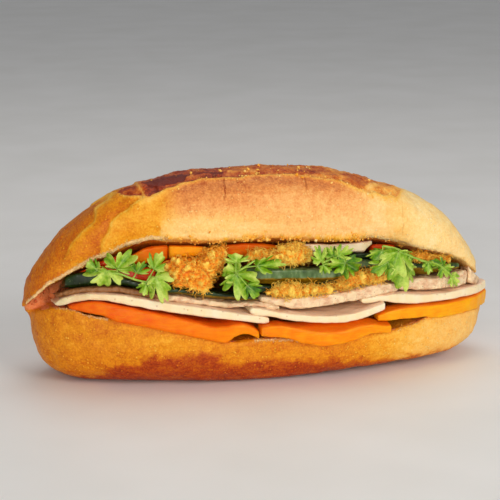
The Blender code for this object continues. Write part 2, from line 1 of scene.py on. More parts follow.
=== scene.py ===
# %% [markdown]
# A banh mi sandwich: a crisp roll split along its front and hinged at its back, with sliced pork, carrot,
# cucumber, tomato, coriander and pork floss between its lips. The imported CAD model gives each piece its
# size and place. This script gives each its skin: fine relief in the mesh where a finger would feel it,
# and procedural materials for what only the eye can see.

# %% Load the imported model
import math
import random

import bpy
import numpy as np
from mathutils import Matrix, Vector, noise


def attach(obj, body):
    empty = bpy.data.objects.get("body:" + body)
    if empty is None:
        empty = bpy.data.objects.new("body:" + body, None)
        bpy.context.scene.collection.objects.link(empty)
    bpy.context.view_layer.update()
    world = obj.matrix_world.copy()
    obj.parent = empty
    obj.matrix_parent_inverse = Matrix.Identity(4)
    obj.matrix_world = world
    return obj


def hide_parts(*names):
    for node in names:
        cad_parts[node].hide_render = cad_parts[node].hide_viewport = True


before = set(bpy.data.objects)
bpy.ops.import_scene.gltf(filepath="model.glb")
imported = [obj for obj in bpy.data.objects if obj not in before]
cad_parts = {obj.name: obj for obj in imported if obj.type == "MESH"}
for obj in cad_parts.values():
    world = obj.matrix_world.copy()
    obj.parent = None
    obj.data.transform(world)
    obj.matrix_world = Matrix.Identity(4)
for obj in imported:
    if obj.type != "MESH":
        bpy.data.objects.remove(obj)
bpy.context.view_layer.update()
MM = 0.001

# %% [markdown]
# The camera stands a little to the left of the mouth and looks slightly down on it, from far off through
# a long lens, so that the roll's two ends look almost equally large. How far off it is and how many of
# the picture's pixels a millimetre takes give the focal length.

# %% Stand the camera where the photograph was taken
PICTURE_WIDTH = 500
PIXELS_PER_MM = 2.351
SENSOR_MM = 36.0
CAMERA_DISTANCE = 0.8
CAMERA_TURN, CAMERA_RISE = math.radians(14), math.radians(13)
CAMERA_AIM = Vector((-4.03, 0.19, 49.4)) * MM

towards_camera = Vector((-math.sin(CAMERA_TURN) * math.cos(CAMERA_RISE),
                         -math.cos(CAMERA_TURN) * math.cos(CAMERA_RISE), math.sin(CAMERA_RISE)))
bpy.ops.object.camera_add(location=CAMERA_AIM + CAMERA_DISTANCE * towards_camera,
                          rotation=(math.radians(90) - CAMERA_RISE, 0, -CAMERA_TURN))
camera = bpy.context.object
camera.data.sensor_width = SENSOR_MM
camera.data.lens = PIXELS_PER_MM * (CAMERA_DISTANCE / MM) / PICTURE_WIDTH * SENSOR_MM
bpy.context.scene.camera = camera
print("focal length", round(camera.data.lens, 1), "mm")

# %% [markdown]
# Food photographs like this one are lit by a big soft window or softbox. Here one large area light
# stands high at the front right, so the right end is pale and the left end stays deep orange. Another
# one, of the same power, stands low at the front left and shines into the mouth. A weaker one hangs
# above, and a pale world lifts the shadows.

# %% Light the table
KEY_POWER, FILL_POWER, TOP_POWER = 4.8, 4.8, 2.0
WORLD_STRENGTH = 0.29


def add_softbox(name, location, size, power, colour):
    """A square light that faces the middle of the sandwich."""
    place = Vector(location)
    facing = (CAMERA_AIM - place).to_track_quat("-Z", "Y").to_euler()
    bpy.ops.object.light_add(type="AREA", location=place, rotation=facing)
    light = bpy.context.object
    light.name = name
    light.data.size = size
    light.data.energy = power
    light.data.color = colour


add_softbox("key_softbox", (0.46, -0.86, 0.48), 0.55, KEY_POWER, (1.0, 0.97, 0.92))
add_softbox("fill_softbox", (-0.42, -0.95, 0.16), 0.50, FILL_POWER, (1.0, 0.95, 0.88))
add_softbox("top_softbox", (0.10, 0.20, 0.85), 0.60, TOP_POWER, (1.0, 0.98, 0.96))
world = bpy.data.worlds.new("pale_room")
bpy.context.scene.world = world
world.use_nodes = True
world.node_tree.nodes["Background"].inputs["Color"].default_value = (0.95, 0.97, 1.0, 1)
world.node_tree.nodes["Background"].inputs["Strength"].default_value = WORLD_STRENGTH
bpy.context.scene.view_settings.view_transform = "Standard"

# %% [markdown]
# A material here is built as a short piece of arithmetic. A Wire is an output socket that Python can
# reckon with: 1 - mask adds a Math node and gives its output back. A Finish is a material with its
# shader, and its node method adds any other node from its settings and its sockets' values or wires.

# %% Wires and finishes
class Wire:
    """An output socket of a shader node, on which +, -, *, / and ** add Math nodes."""

    def __init__(self, finish, socket):
        self.finish, self.socket = finish, socket

    def reckon(self, operation, first, second):
        return self.finish.node("ShaderNodeMath", {"operation": operation}, {0: first, 1: second})

    def __add__(self, other):
        return self.reckon("ADD", self, other)

    def __radd__(self, other):
        return self.reckon("ADD", other, self)

    def __sub__(self, other):
        return self.reckon("SUBTRACT", self, other)

    def __rsub__(self, other):
        return self.reckon("SUBTRACT", other, self)

    def __mul__(self, other):
        return self.reckon("MULTIPLY", self, other)

    def __rmul__(self, other):
        return self.reckon("MULTIPLY", other, self)

    def __truediv__(self, other):
        return self.reckon("DIVIDE", self, other)

    def __pow__(self, other):
        return self.reckon("POWER", self, other)


def paint(red, green, blue):
    """A colour as a picture editor shows it, 0 to 255, in the linear light that shaders use."""
    return (*[(v / 255) ** 2.2 for v in (red, green, blue)], 1.0)


class Finish:
    """A material whose looks are worked out from the place on the piece."""

    def __init__(self, name, uniform):
        self.material = bpy.data.materials.new(name)
        self.material.use_nodes = True
        self.tree = self.material.node_tree
        self.shader = self.tree.nodes["Principled BSDF"]
        for socket, value in uniform.items():
            self.shader.inputs[socket].default_value = value
        self.place = self.node("ShaderNodeTexCoord", output="Object")
        self.facing = self.node("ShaderNodeTexCoord", output="Normal")

    def node(self, kind, settings=None, sockets=None, output=0):
        made = self.tree.nodes.new(kind)
        for name, value in (settings or {}).items():
            if name == "stops":
                while len(made.color_ramp.elements) < len(value):
                    made.color_ramp.elements.new(0.5)
                for element, (position, colour) in zip(made.color_ramp.elements, value):
                    element.position, element.color = position, colour
            else:
                setattr(made, name, value)
        for name, value in (sockets or {}).items():
            if isinstance(value, Wire):
                self.tree.links.new(value.socket, made.inputs[name])
            else:
                made.inputs[name].default_value = value
        return Wire(self, made.outputs[output])

    def kept(self, name):
        """A number that was stored on the piece's points under this name."""
        return self.node("ShaderNodeAttribute", {"attribute_name": name}, output="Fac")

    def stretched(self, across, along, up):
        """The place, scaled by axis, for patterns that are longer one way than another."""
        return self.node("ShaderNodeVectorMath", {"operation": "MULTIPLY"},
                         {0: self.place, 1: (across, along, up)})

    def cloud(self, grain_mm, detail=3.0, vector=None):
        """Soft noise about 0.5 in blobs of this size."""
        return self.node("ShaderNodeTexNoise", {},
                         {"Vector": vector or self.place, "Scale": 1 / (grain_mm * MM), "Detail": detail})

    def cells(self, size_mm):
        """The distance to the nearest of scattered points."""
        return self.node("ShaderNodeTexVoronoi", {},
                         {"Vector": self.place, "Scale": 1 / (size_mm * MM)}, "Distance")

    def rise(self, value, low, high):
        """0 below low, 1 above high and smooth between them."""
        return self.node("ShaderNodeMapRange", {"interpolation_type": "SMOOTHSTEP"},
                         {"Value": value, "From Min": low, "From Max": high})

    def crack(self, at_x, at_z, slope, half_length):
        """A thin uneven line up the front of the piece, through a place in millimetres along and up it."""
        along, up = self.part(self.place, "X") / MM - at_x, self.part(self.place, "Z") / MM - at_z
        wobble = (self.cloud(3.0, 2) - 0.5) * 1.6
        off_line = along - up * slope + wobble
        on_line = self.rise(off_line * off_line, 0.16, 0.0)
        within = self.rise(up * up, half_length**2, 0.5 * half_length**2)
        return on_line * within * self.rise(self.part(self.place, "Y"), 0.0, -0.01)

    def part(self, vector, axis):
        return self.node("ShaderNodeSeparateXYZ", {}, {0: vector}, "XYZ".index(axis))

    def blend(self, share, first, second):
        return self.node("ShaderNodeMix", {"data_type": "RGBA"}, {0: share, 6: first, 7: second}, 2)

    def ramp(self, value, stops):
        """Colours along a value. Each stop is a place from 0 to 1 and its red, green and blue."""
        painted = [(place, paint(*tone)) for place, *tone in stops]
        return self.node("ShaderNodeValToRGB", {"stops": painted}, {0: value})

    def wear(self, colour, relief_mm, roughness=None):
        """Joins the colour, the relief in millimetres and the roughness to the shader."""
        bump = self.node("ShaderNodeBump", {}, {"Height": relief_mm, "Distance": MM, "Strength": 1.0},
                         "Normal")
        self.tree.links.new(colour.socket, self.shader.inputs["Base Color"])
        self.tree.links.new(bump.socket, self.shader.inputs["Normal"])
        if roughness:
            self.tree.links.new(roughness.socket, self.shader.inputs["Roughness"])
        return self.material


print("a mid brown in linear light:", [round(v, 3) for v in paint(176, 98, 46)])

# %% [markdown]
# The pieces start as copies of the CAD solids, whose loose triangles are first sewn together. A voxel
# remesh then gives an even skin of small faces, and smoothing takes the solid's facets out of it, so
# that relief can be pressed into it point by point. Places are kept as arrays of points in millimetres.

# %% Tools for turning a solid into a modelled piece
def pick(*pieces):
    """Selects these objects alone, the last of them active."""
    bpy.ops.object.select_all(action="DESELECT")
    for piece in pieces:
        piece.select_set(True)
    bpy.context.view_layer.objects.active = pieces[-1]


def sewn_copy(node, name):
    """A new piece with a node's triangles sewn into one skin."""
    piece = bpy.data.objects.new(name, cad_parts[node].data.copy())
    bpy.context.scene.collection.objects.link(piece)
    pick(piece)
    bpy.ops.object.mode_set(mode="EDIT")
    bpy.ops.mesh.select_all(action="SELECT")
    bpy.ops.mesh.remove_doubles(threshold=0.001 * MM)
    bpy.ops.mesh.normals_make_consistent(inside=False)
    bpy.ops.object.mode_set(mode="OBJECT")
    piece.data.materials.clear()
    return piece


def shape_with(piece, kind, **settings):
    """Adds a modifier to a piece and applies it."""
    modifier = piece.modifiers.new(kind.lower(), kind)
    for name, value in settings.items():
        setattr(modifier, name, value)
    pick(piece)
    bpy.ops.object.modifier_apply(modifier=modifier.name)


def refine(piece, voxel_mm, smoothing):
    shape_with(piece, "REMESH", mode="VOXEL", voxel_size=voxel_mm * MM)
    shape_with(piece, "SMOOTH", factor=0.5, iterations=smoothing)


def points_of(piece):
    points = np.empty(len(piece.data.vertices) * 3)
    piece.data.vertices.foreach_get("co", points)
    return points.reshape(-1, 3) / MM


def normals_of(piece):
    normals = np.empty(len(piece.data.vertices) * 3)
    piece.data.vertices.foreach_get("normal", normals)
    return normals.reshape(-1, 3)


def move_points(piece, points):
    piece.data.vertices.foreach_set("co", (points * MM).ravel())
    piece.data.update()


def keep(piece, name, values):
    """Stores one number for each point, for the material to read."""
    layer = piece.data.attributes.new(name, "FLOAT", "POINT")
    layer.data.foreach_set("value", np.asarray(values, np.float32))


def grain(points, size_mm, seed=0.0):
    """Smooth noise from about -0.5 to 0.5 at each point, in blobs of about this size."""
    return np.array([noise.noise(Vector(p)) for p in (points / size_mm + seed).tolist()])


LEAN_SHIFTS = [Vector((11.3, 0, 0)), Vector((0, 23.7, 0)), Vector((0, 0, 37.1))]


def plates(points, size_mm):
    """Scattered flat plates with sharp joins: a tone for each, and how high its tilt lifts a point."""
    tones, lifts = [], []
    for p in (points / size_mm).tolist():
        centre = noise.voronoi(Vector(p))[1][0]
        tones.append(noise.noise(centre * 5.3))
        lean = Vector([noise.noise(centre * 3.7 + shift) for shift in LEAN_SHIFTS])
        lifts.append((Vector(p) - centre).dot(lean))
    return np.array(tones), np.array(lifts)


def soften(piece, points, weights, rounds):
    """Moves each point towards the middle of its neighbours, as far as its weight says, again and again."""
    ends = np.empty(len(piece.data.edges) * 2, np.int32)
    piece.data.edges.foreach_get("vertices", ends)
    first, second = ends.reshape(-1, 2).T
    total = len(points)
    neighbours = np.bincount(first, minlength=total) + np.bincount(second, minlength=total)
    for _ in range(rounds):
        middles = np.stack([np.bincount(first, c[second], total) + np.bincount(second, c[first], total)
                            for c in points.T], 1) / neighbours[:, None]
        points = points + weights[:, None] * (middles - points)
    move_points(piece, points)
    return points


def rise(values, low, high):
    t = np.clip((values - low) / (high - low), 0, 1)
    return t * t * (3 - 2 * t)


def finish_piece(piece, material, slot, *nodes):
    """Gives a piece its material, hangs it on the body and lets it stand for its nodes."""
    piece.data.materials.clear()
    piece.data.materials.append(material)
    pick(piece)
    bpy.ops.object.shade_smooth()
    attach(piece, "root")
    if nodes:
        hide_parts(*nodes)
    print(piece.name, len(piece.data.polygons), "faces")


# %% [markdown]
# The roll is one piece of bread, but it has three surfaces: a thin baked crust, the pale torn crumb along
# its lips, and the cut crumb inside the mouth. They meet along lines that the mesh doesn't know, so the
# lips' heights are given here again as a few points along the roll, and every point of the skin works
# out from them whether it is crust, lip or crumb.

# %% Sew and refine the roll
HALF_LENGTH, PLAN_POWER, LEAST_PLAN = 101.0, 2.2, 0.14
LIP_DEPTH, MOUTH_DEPTH = 34.0, 58.0
HINGE_HEIGHT, FAN_CLOSING = 30.0, 0.65
ROLL_VOXEL_MM, ROLL_SMOOTHING = 0.94, 26
EAR_MIDDLE = -4.0
UPPER_LIP = [(-102, 30.6), (-93, 42), (-78, 52.6), (-64, 59.6), (-53, 63.2), (-31, 61.8), (0, 62),
             (22, 59.6), (42, 59.2), (65, 51.8), (85, 44.2), (93, 37.2), (98, 33.6)]
LOWER_LIP = [(-99, 29.0), (-91, 33.5), (-84, 32.8), (-77, 30.2), (-62, 28.0), (-42, 23.4), (-20, 18.2),
             (-8, 19.0), (5, 18.2), (17, 15.4), (27, 15.8), (38, 18.0), (51, 17.6), (66, 20.8), (99, 20.4)]

roll = sewn_copy("roll", "bread_roll")
shape_with(roll, "REMESH", mode="VOXEL", voxel_size=ROLL_VOXEL_MM * MM)
skin = points_of(roll)


def line_at(line, at):
    """The second number of a line of points, wherever the first is asked for."""
    return np.interp(at, [p[0] for p in line], [p[1] for p in line])


def plan_at(along):
    """How wide the roll is at places along it, as a share of its middle width."""
    return np.sqrt(np.maximum(1 - np.abs(along / HALF_LENGTH) ** PLAN_POWER, LEAST_PLAN**2))


def mouth_places(points):
    """How far into the mouth points lie, as a share of its depth, and how far beyond each of its lips."""
    x, y, z = points.T
    inward = np.clip((y / plan_at(x) + LIP_DEPTH) / MOUTH_DEPTH, -0.2, 1.1)
    between = (z - FAN_CLOSING * HINGE_HEIGHT * inward) / (1 - FAN_CLOSING * inward)
    return inward, between - line_at(UPPER_LIP, x), line_at(LOWER_LIP, x) - between


inward, above_lip, below_lip = mouth_places(skin)
near_mouth = rise(np.maximum(above_lip, below_lip), 4.5, 1.5) * rise(inward, -0.2, -0.05)
skin = soften(roll, skin, 0.5 - 0.45 * near_mouth, ROLL_SMOOTHING)
outward = normals_of(roll)
x, y, z = skin.T
inward, above_lip, below_lip = mouth_places(skin)
beyond_lips = np.maximum(above_lip, below_lip)
crumb = rise(beyond_lips, 0.5, -0.5) * rise(inward, -0.10, -0.05) * rise(inward, 1.06, 1.0)
bare_lower_lip = (rise(x, -92, -90) * rise(x, -67, -71) + rise(x, -13, -10) * rise(x, 10, 7)
                  + 0.6 * rise(x, 47, 50) * rise(x, 70, 66))
fringed = rise(np.abs(x - EAR_MIDDLE), 48, 36)
shown_lip = np.where(above_lip > below_lip, 1.0 - 0.6 * fringed, np.clip(bare_lower_lip, 0.12, 0.8))
lip_width = 1.0 + 0.9 * rise(x, -40, -70) * (above_lip > below_lip)
lip = np.exp(-(((beyond_lips - 0.6) / lip_width) ** 2)) * rise(inward, 0.12, 0.02) * shown_lip
print("roll", len(skin), "points, of which crumb", int((crumb > 0.5).sum()))

# %% [markdown]
# On top of the front the baker's cut burst open in the oven: the ear. Its front edge is a raised ridge,
# and behind it the young crust is dark, reddish and faceted. The ridge and two shallow tears at the left
# end are lines of points on the skin. The crust is lifted along them, and it gets soft blisters, while
# the torn crumb gets crags.

# %% Press the relief into the roll
EAR = [(-65.3, -13.0), (-61.6, -22.4), (-56.5, -26.0), (-52.5, -28.2), (-46.5, -27.1), (-41.0, -26.3),
       (-31.2, -25.2), (-14.0, -26.3), (-4.6, -25.7), (10.7, -25.6), (21.1, -26.4), (27.0, -26.8),
       (35.4, -29.1), (42.4, -28.7), (52.0, -26.5), (58.5, -16.0)]
NEAR_TEAR = [(58.0, -72.6), (62.0, -71.6), (66.1, -69.5), (70.6, -67.8), (74.1, -63.8),
             (76.5, -59.8), (79.6, -55.3)]
FAR_TEAR = [(50.0, -89.0), (55.6, -86.1), (60.5, -83.2), (64.8, -79.3), (70.0, -74.8),
            (74.1, -72.5), (79.2, -65.3)]
EAR_WIDTH, EAR_HALF_LENGTH = 25.0, 64.0
PLATE_MM = 9.0
LIP_LIFT = 1.5
PLATE_STRETCH = (0.7, 1.0, 1.0)

upper_half = rise(above_lip, -1.0, 2.0) * (z > HINGE_HEIGHT)
crust = 1 - crumb
behind_ear = y - line_at(EAR, x) + 0.9 * grain(skin, 4.0)
in_ear_span = rise(x, -67.5, -62.0) * rise(x, 60.0, 55.0) * upper_half
ear_share = np.clip(np.abs(x - EAR_MIDDLE) / EAR_HALF_LENGTH, 0, 1)
burst_back = EAR_WIDTH * (np.sqrt(1 - ear_share**3) - 1) + 4 * grain(skin, 11.0) + 2 * grain(skin, 3.5)
burst = rise(behind_ear, -0.3, 0.5) * rise(y - burst_back, 2.5, -3.0) * in_ear_span
burst = burst * rise(ear_share, 1.0, 0.96)
ridge = np.exp(-((behind_ear + 0.8) / 1.0) ** 2) * in_ear_span
groove = np.exp(-((behind_ear - 1.4) / 1.7) ** 2) * in_ear_span
plate_tone, plate_tilt = plates(skin * PLATE_STRETCH, PLATE_MM)
near_tear = x - line_at(NEAR_TEAR, z) + 1.2 * grain(skin, 6.0)
far_tear = x - line_at(FAR_TEAR, z) + 1.2 * grain(skin, 6.0, 3.0)
tear_zone = rise(y, 0, -12) * upper_half * rise(z, 50, 58)
tears = (np.exp(-((near_tear / 0.6) ** 2)) + np.exp(-((far_tear / 0.6) ** 2))) * tear_zone
ledges = sum(rise(tear, -0.6, 0.4) * rise(tear, 9, 0) for tear in (near_tear, far_tear)) * tear_zone
relief = crust * (0.22 * grain(skin, 2.2) + 0.5 * grain(skin, 7.0) + 0.7 * ridge - 0.8 * groove
                  + burst * (0.7 * np.tanh(2.5 * plate_tilt) + 0.35 * grain(skin, 1.8)) + 0.9 * ledges)
relief += lip * (0.5 * grain(skin, 1.8) + 0.5 * grain(skin, 5.0))
fringe = np.exp(-(((above_lip - 1.0) / 1.3) ** 2)) * rise(y, 4, -14) * fringed * rise(inward, 0.12, 0.02)
tufted = fringe * rise(grain(skin, 2.6) + 0.6 * grain(skin, 9.0), -0.12, 0.10)
relief += 0.7 * tufted * (1 + grain(skin, 1.4))
relief += crumb * (0.8 * grain(skin, 3.6) + 0.6 * grain(skin, 1.6) - 0.2)
sole = rise(z, 0.3, 2.5)
skin = skin + outward * (relief * sole)[:, None]
lifted = LIP_LIFT * np.exp(-(((below_lip - 0.6) / 1.8) ** 2))
skin[:, 2] += lifted * rise(inward, 0.08, 0.0) * rise(inward, -0.2, -0.08)
skin[:, 2] = np.maximum(skin[:, 2], 0.0)
move_points(roll, skin)
print("relief in mm from", round(relief.min(), 2), "to", round(relief.max(), 2))

# %% [markdown]
# A crust's colour is how far it has baked. One number for each point of the skin, from 0 for pale crumb
# to 1 for nearly burnt, is settled region by region: pale at the right end and in a soft patch over the
# mouth, golden in the middle, orange at the left nose, and red-brown behind the ear and round the sole,
# where the roll stood on the hot tin. A second number gives the pink blush of the thin upper crust.

# %% Decide how far each part of the crust has baked
SOLE_EDGE = [(-88, 3.0), (-76.5, 4.6), (-69.7, 7.0), (-64.6, 10.4), (-56.8, 12.8), (-47.7, 14.1),
             (-35.6, 14.7), (-27.5, 14.4), (-23.4, 12.1), (-18.3, 10.5), (-5.5, 9.9), (16.1, 8.2),
             (27.8, 6.6), (39.1, 5.4), (49.4, 6.0), (63.9, 5.0), (79.5, 5.4)]


def patch(at_x, at_z, reach_x, reach_z):
    """A soft-edged patch on the front, round a place given along and up the roll."""
    return np.exp(-(((x - at_x) / reach_x) ** 2) - ((z - at_z) / reach_z) ** 2) * rise(y, 5, -8)


bake = np.full(len(skin), 0.60)
blush = np.zeros(len(skin))
front = rise(y, 4, -14)


def settle(levels, where, level):
    """Moves the levels towards one level, as far as the mask says."""
    return levels + np.clip(where, 0, 1) * (level - levels)


middle_front = upper_half * front * rise(x, -50, -38) * rise(x, 66, 40)
bake = settle(bake, upper_half * front, 0.51)
bake = settle(bake, upper_half * front * rise(x, -52, -66), 0.56)
bake = settle(bake, tear_zone * rise(near_tear, 0.0, -0.6) * rise(near_tear, -10, -1), 0.70)
bake = settle(bake, tear_zone * rise(far_tear, 0.0, -0.6), 0.69)
bake = settle(bake, tear_zone * rise(near_tear, -0.2, 0.4) * rise(near_tear, 10, 2), 0.50)
bake = settle(bake, upper_half * rise(x, -78, -94), 0.69)
blush = settle(blush, middle_front, 1.0)
bake = settle(bake, middle_front, 0.50 - 0.18 * rise(x, -30, 40))
under_ear = np.exp(-((behind_ear + 2) / 7) ** 2) * in_ear_span * rise(x, -52, -34) * rise(x, 46, 20)
under_ear = under_ear * rise(z, 60, 74)
bake = settle(bake, 0.95 * under_ear, 0.74)
right_end = upper_half * front * rise(x, 44, 62)
bake = settle(bake, right_end, 0.21)
blush = settle(blush, right_end, 0.75)
pale_patch = patch(-31, 67, 26, 6) * upper_half * rise(x, -49.6, -48.6)
bake = settle(bake, 1.3 * pale_patch, 0.30)
blush = settle(blush, pale_patch, 0.6)
bake = settle(bake, burst, 0.87)
bake = settle(bake, burst * rise(x, -30, 10), 0.72)
bake = settle(bake, burst * 0.9 * rise(x, 24, 42) * rise(behind_ear, 9, 4), 0.58)
bake = bake + burst * (0.36 * plate_tone + 0.16 * grain(skin, 4.0))
bake = bake - 0.14 * burst * rise(y - burst_back, -10, 0)
blush = settle(blush, burst, 0.5)
bake = settle(bake, 0.75 * tears * rise(z, 54, 62), 0.32)
bake = settle(bake, 0.8 * ridge, 0.36)
blush = settle(blush, ridge, 0.2)
bake = settle(bake, tufted, 0.44)
blush = settle(blush, tufted, 0.0)
lower_half = rise(below_lip, -1, 2)
bake = settle(bake, lower_half * front, 0.63)
bake = settle(bake, lower_half * rise(x, -45, -90), 0.62)
bake = settle(bake, patch(-40, 20, 24, 4) * lower_half, 0.54)
bake = settle(bake, rise(x, 20, 66) * lower_half * front, 0.36)
blush = settle(blush, rise(x, 40, 85) * lower_half * front, 0.5)
ragged_edge = line_at(SOLE_EDGE, x) + 3.5 * grain(skin, 7.0) + 2.5 * grain(skin, 2.4)
round_sole = rise(z - ragged_edge, 2.2, -2.2)
bake = settle(bake, round_sole, 0.85 - 0.12 * rise(x, 20, 60))
back = rise(y, 6, 22)
bake = settle(bake, back * rise(z, 30, 8), 0.72)
bake = settle(bake, 0.8 * back * np.exp(-(((z - 44) / 16) ** 2)), 0.50)
bake = bake + 0.10 * back * grain(skin, 16.0) + 0.05 * back * grain(skin, 6.0)
blush = settle(blush, 0.65 * back, 1.0)
for name, values in (("bake", bake), ("blush", blush), ("crumb", crumb), ("lip", lip), ("burst", burst)):
    keep(roll, name, values)
print("bake from", round(bake.min(), 2), "to", round(bake.max(), 2))

# %% [markdown]
# The crust's colour runs from cream through gold and orange to red-brown, along one of two ramps or
# between them: a golden one, and a pinker one where the crust blushes. Cloudy noise at four sizes keeps
# it uneven, pale blisters sit in it, and fine wrinkles cross the blushing skin under the ear. The crumb
# is painted redder for the warm shade inside the mouth, and its pores are painted darker for their shade.

# %% The bread's material
GOLD_STOPS = [(0.0, 252, 222, 150), (0.2, 250, 204, 104), (0.4, 244, 176, 52),
              (0.55, 230, 144, 20), (0.7, 204, 106, 12), (0.85, 172, 64, 16),
              (1.0, 104, 32, 12)]
BLUSH_STOPS = [(0.0, 255, 234, 184), (0.2, 252, 216, 150), (0.4, 248, 190, 114),
               (0.6, 230, 146, 76), (0.85, 166, 68, 26), (1.0, 112, 36, 12)]

bread = Finish("baked_bread", {"Subsurface Weight": 0.06, "Subsurface Scale": 0.002,
                               "Subsurface Radius": (1.0, 0.45, 0.15), "Specular IOR Level": 0.22})
clouds, mottle, specks = bread.cloud(16, 3), bread.cloud(4.0, 3), bread.cloud(0.75, 3)
dapple = bread.cloud(1.7, 2)
wrinkles = bread.cloud(1.7, 3, bread.stretched(1.0, 1.0, 0.35))
streaks = bread.rise(bread.cloud(3.0, 3, bread.stretched(0.14, 1.0, 1.0)), 0.54, 0.66)
blisters = bread.rise(bread.cells(1.7), 0.30, 0.10) * bread.rise(mottle, 0.46, 0.6)
on_top = bread.kept("burst")
baked = (bread.kept("bake") + (clouds - 0.5) * 0.10 + (mottle - 0.5) * 0.20 + (dapple - 0.5) * 0.16
         + (specks - 0.5) * 0.36 - blisters * 0.24 - streaks * (1 - on_top) * 0.05
         + on_top * (wrinkles - 0.5) * 0.3 + bread.kept("blush") * (wrinkles - 0.5) * 0.16)
cracks = (bread.crack(-22.5, 82.5, 0.20, 4.5) + bread.crack(11.8, 83.0, 0.15, 2.5)
          + bread.crack(54.0, 66.0, 0.04, 8.0) * 0.6)
baked = baked + cracks * 0.10
golden, blushing = bread.ramp(baked, GOLD_STOPS), bread.ramp(baked, BLUSH_STOPS)
crust_colour = bread.blend(bread.kept("blush"), golden, blushing)
shaded_pores = bread.rise(bread.cells(2.3), 0.42, 0.18) * bread.rise(bread.cloud(3.0), 0.40, 0.62)
torn = bread.ramp(bread.cloud(0.8, 4) * 0.8 + bread.kept("lip") * 0.3,
                  [(0.3, 238, 158, 86), (0.7, 254, 220, 156)])
# painted shade: the mouth's crumb is tinted red for its warm shade, and its pores are painted darker
crumb_in_painted_shade = bread.blend(shaded_pores * 0.6, bread.blend(0.65, torn, paint(232, 112, 66)), paint(200, 72, 36))
edge_of_crumb = bread.rise(bread.kept("crumb") + (specks - 0.5) * 0.5, 0.35, 0.6)
edge_of_lip = bread.rise(bread.kept("lip") + (specks - 0.5) * 1.1, 0.50, 0.85) * 0.85
bread_colour = bread.blend(edge_of_lip, crust_colour, torn)
bread_colour = bread.blend(edge_of_crumb, bread_colour, crumb_in_painted_shade)
bread_relief = (specks * 0.26 + dapple * 0.24 + mottle * 0.35 + wrinkles * bread.kept("blush") * 0.35
                + blisters * 0.25 + edge_of_lip * specks * 0.5 - shaded_pores * edge_of_crumb * 0.6
                - cracks * 0.25)
bread_gloss = 0.50 + (mottle - 0.5) * 0.2 + edge_of_crumb * 0.35 + edge_of_lip * 0.3 - on_top * 0.06
finish_piece(roll, bread.wear(bread_colour, bread_relief, bread_gloss), "crust", "roll")

# %% [markdown]
# Each slice is remeshed finely enough to round its cut edges a little, and knife marks and fibres are
# pressed in. How strong they are depends on what was cut: carrot is crisp and nearly flat, roast pork
# is ragged, tomato is wet and soft. Ends that would run out in a tip are thickened, and the carrots at
# the bottom hang down to the lip. Slices of one kind share a material, and a number on their points
# says what each has of its own, such as how red a strip of carrot is at each of its ends.

# %% Make the slices of one kind
NO_FLESH = [(0, 0)]
COLUMN_MM = 1.5
EDGE_REACH = 3.0
SWELL = 0.2
BLUNT_REACH = 3.0
LEAST_HALF_MM = 0.3
DRAPED = [(-72, 0), (-67, 1), (-24, 1), (-20, 0), (3, 0), (8, 1), (34, 1), (38, 0.3), (43, 0),
          (66, 0), (72, 1)]
RAISED = {"cucumber_left": [(-86, 2.2), (-78, 2.4), (-66, 1.2), (-55, 0.0)]}


def front_edge(points):
    """The least and the greatest height of a slice's front edge, at each point's place along it."""
    column = np.floor((points[:, 0] - points[:, 0].min()) / COLUMN_MM).astype(int)
    count = column.max() + 1
    nearest, low, high = np.full(count, np.inf), np.full(count, np.inf), np.full(count, -np.inf)
    np.minimum.at(nearest, column, points[:, 1])
    at_front = points[:, 1] < nearest[column] + EDGE_REACH
    np.minimum.at(low, column[at_front], points[at_front, 2])
    np.maximum.at(high, column[at_front], points[at_front, 2])
    middles = points[:, 0].min() + COLUMN_MM * (np.arange(count) + 0.5)
    return np.interp(points[:, 0], middles, low), np.interp(points[:, 0], middles, high)


def blunt(points, half_mm):
    """Thickens a slice towards its two ends, so that it ends in a rounded edge and not in a tip."""
    low, high = front_edge(points)
    off_end = np.minimum(points[:, 0] - points[:, 0].min(), points[:, 0].max() - points[:, 0]) / BLUNT_REACH
    wanted = half_mm * np.sqrt(1 - (1 - np.clip(off_end, 0, 1)) ** 2)
    middle, half = (low + high) / 2, np.maximum((high - low) / 2, LEAST_HALF_MM)
    fades = rise(off_end, 5, 1)
    points[:, 2] += np.clip(points[:, 2] - middle, -half, half) * np.maximum(wanted / half - 1, 0) * fades
    return points


def drape(points):
    """Lets the front of a strip hang down to the lower lip wherever it lies on it."""
    low, high = front_edge(points)
    hanging = np.clip((high - points[:, 2]) / (high - low), 0, 1) * line_at(DRAPED, points[:, 0])
    outside = rise(points[:, 1] / plan_at(points[:, 0]), -LIP_DEPTH + 1, -LIP_DEPTH - 1.5)
    points[:, 2] -= np.maximum(low - line_at(LOWER_LIP, points[:, 0]) - 0.3, 0) * hanging * outside
    return points


def make_slices(kind, material, slices, voxel_mm, coarse_mm, fine_mm, half_mm, flesh_below=None):
    """Refines every slice of a kind. slices gives each node the tone of its left and right ends."""
    for node, (left_tone, right_tone) in slices.items():
        piece = sewn_copy(node, node + "_slice")
        refine(piece, voxel_mm, 1)
        points, normals = points_of(piece), normals_of(piece)
        along = (points[:, 0] - points[:, 0].min()) / np.ptp(points[:, 0])
        bumps = SWELL + coarse_mm * grain(points, 5.0) + fine_mm * grain(points * (1.0, 1.0, 0.4), 1.3)
        points = blunt(points + normals * bumps[:, None], half_mm)
        if kind == "carrot":
            points = drape(points)
        if node in RAISED:
            low, high = front_edge(points)
            lifted = np.clip((points[:, 2] - low) / (high - low), 0, 1)
            points[:, 2] += lifted * line_at(RAISED[node], points[:, 0])
        move_points(piece, points)
        keep(piece, "tone", left_tone + (right_tone - left_tone) * along)
        if flesh_below:
            edge = line_at(flesh_below.get(node, NO_FLESH), points[:, 0]) + 0.4 * grain(points, 3.0)
            keep(piece, "rind", rise(points[:, 2], edge - 0.15, edge + 0.15))
        finish_piece(piece, material, kind, node)
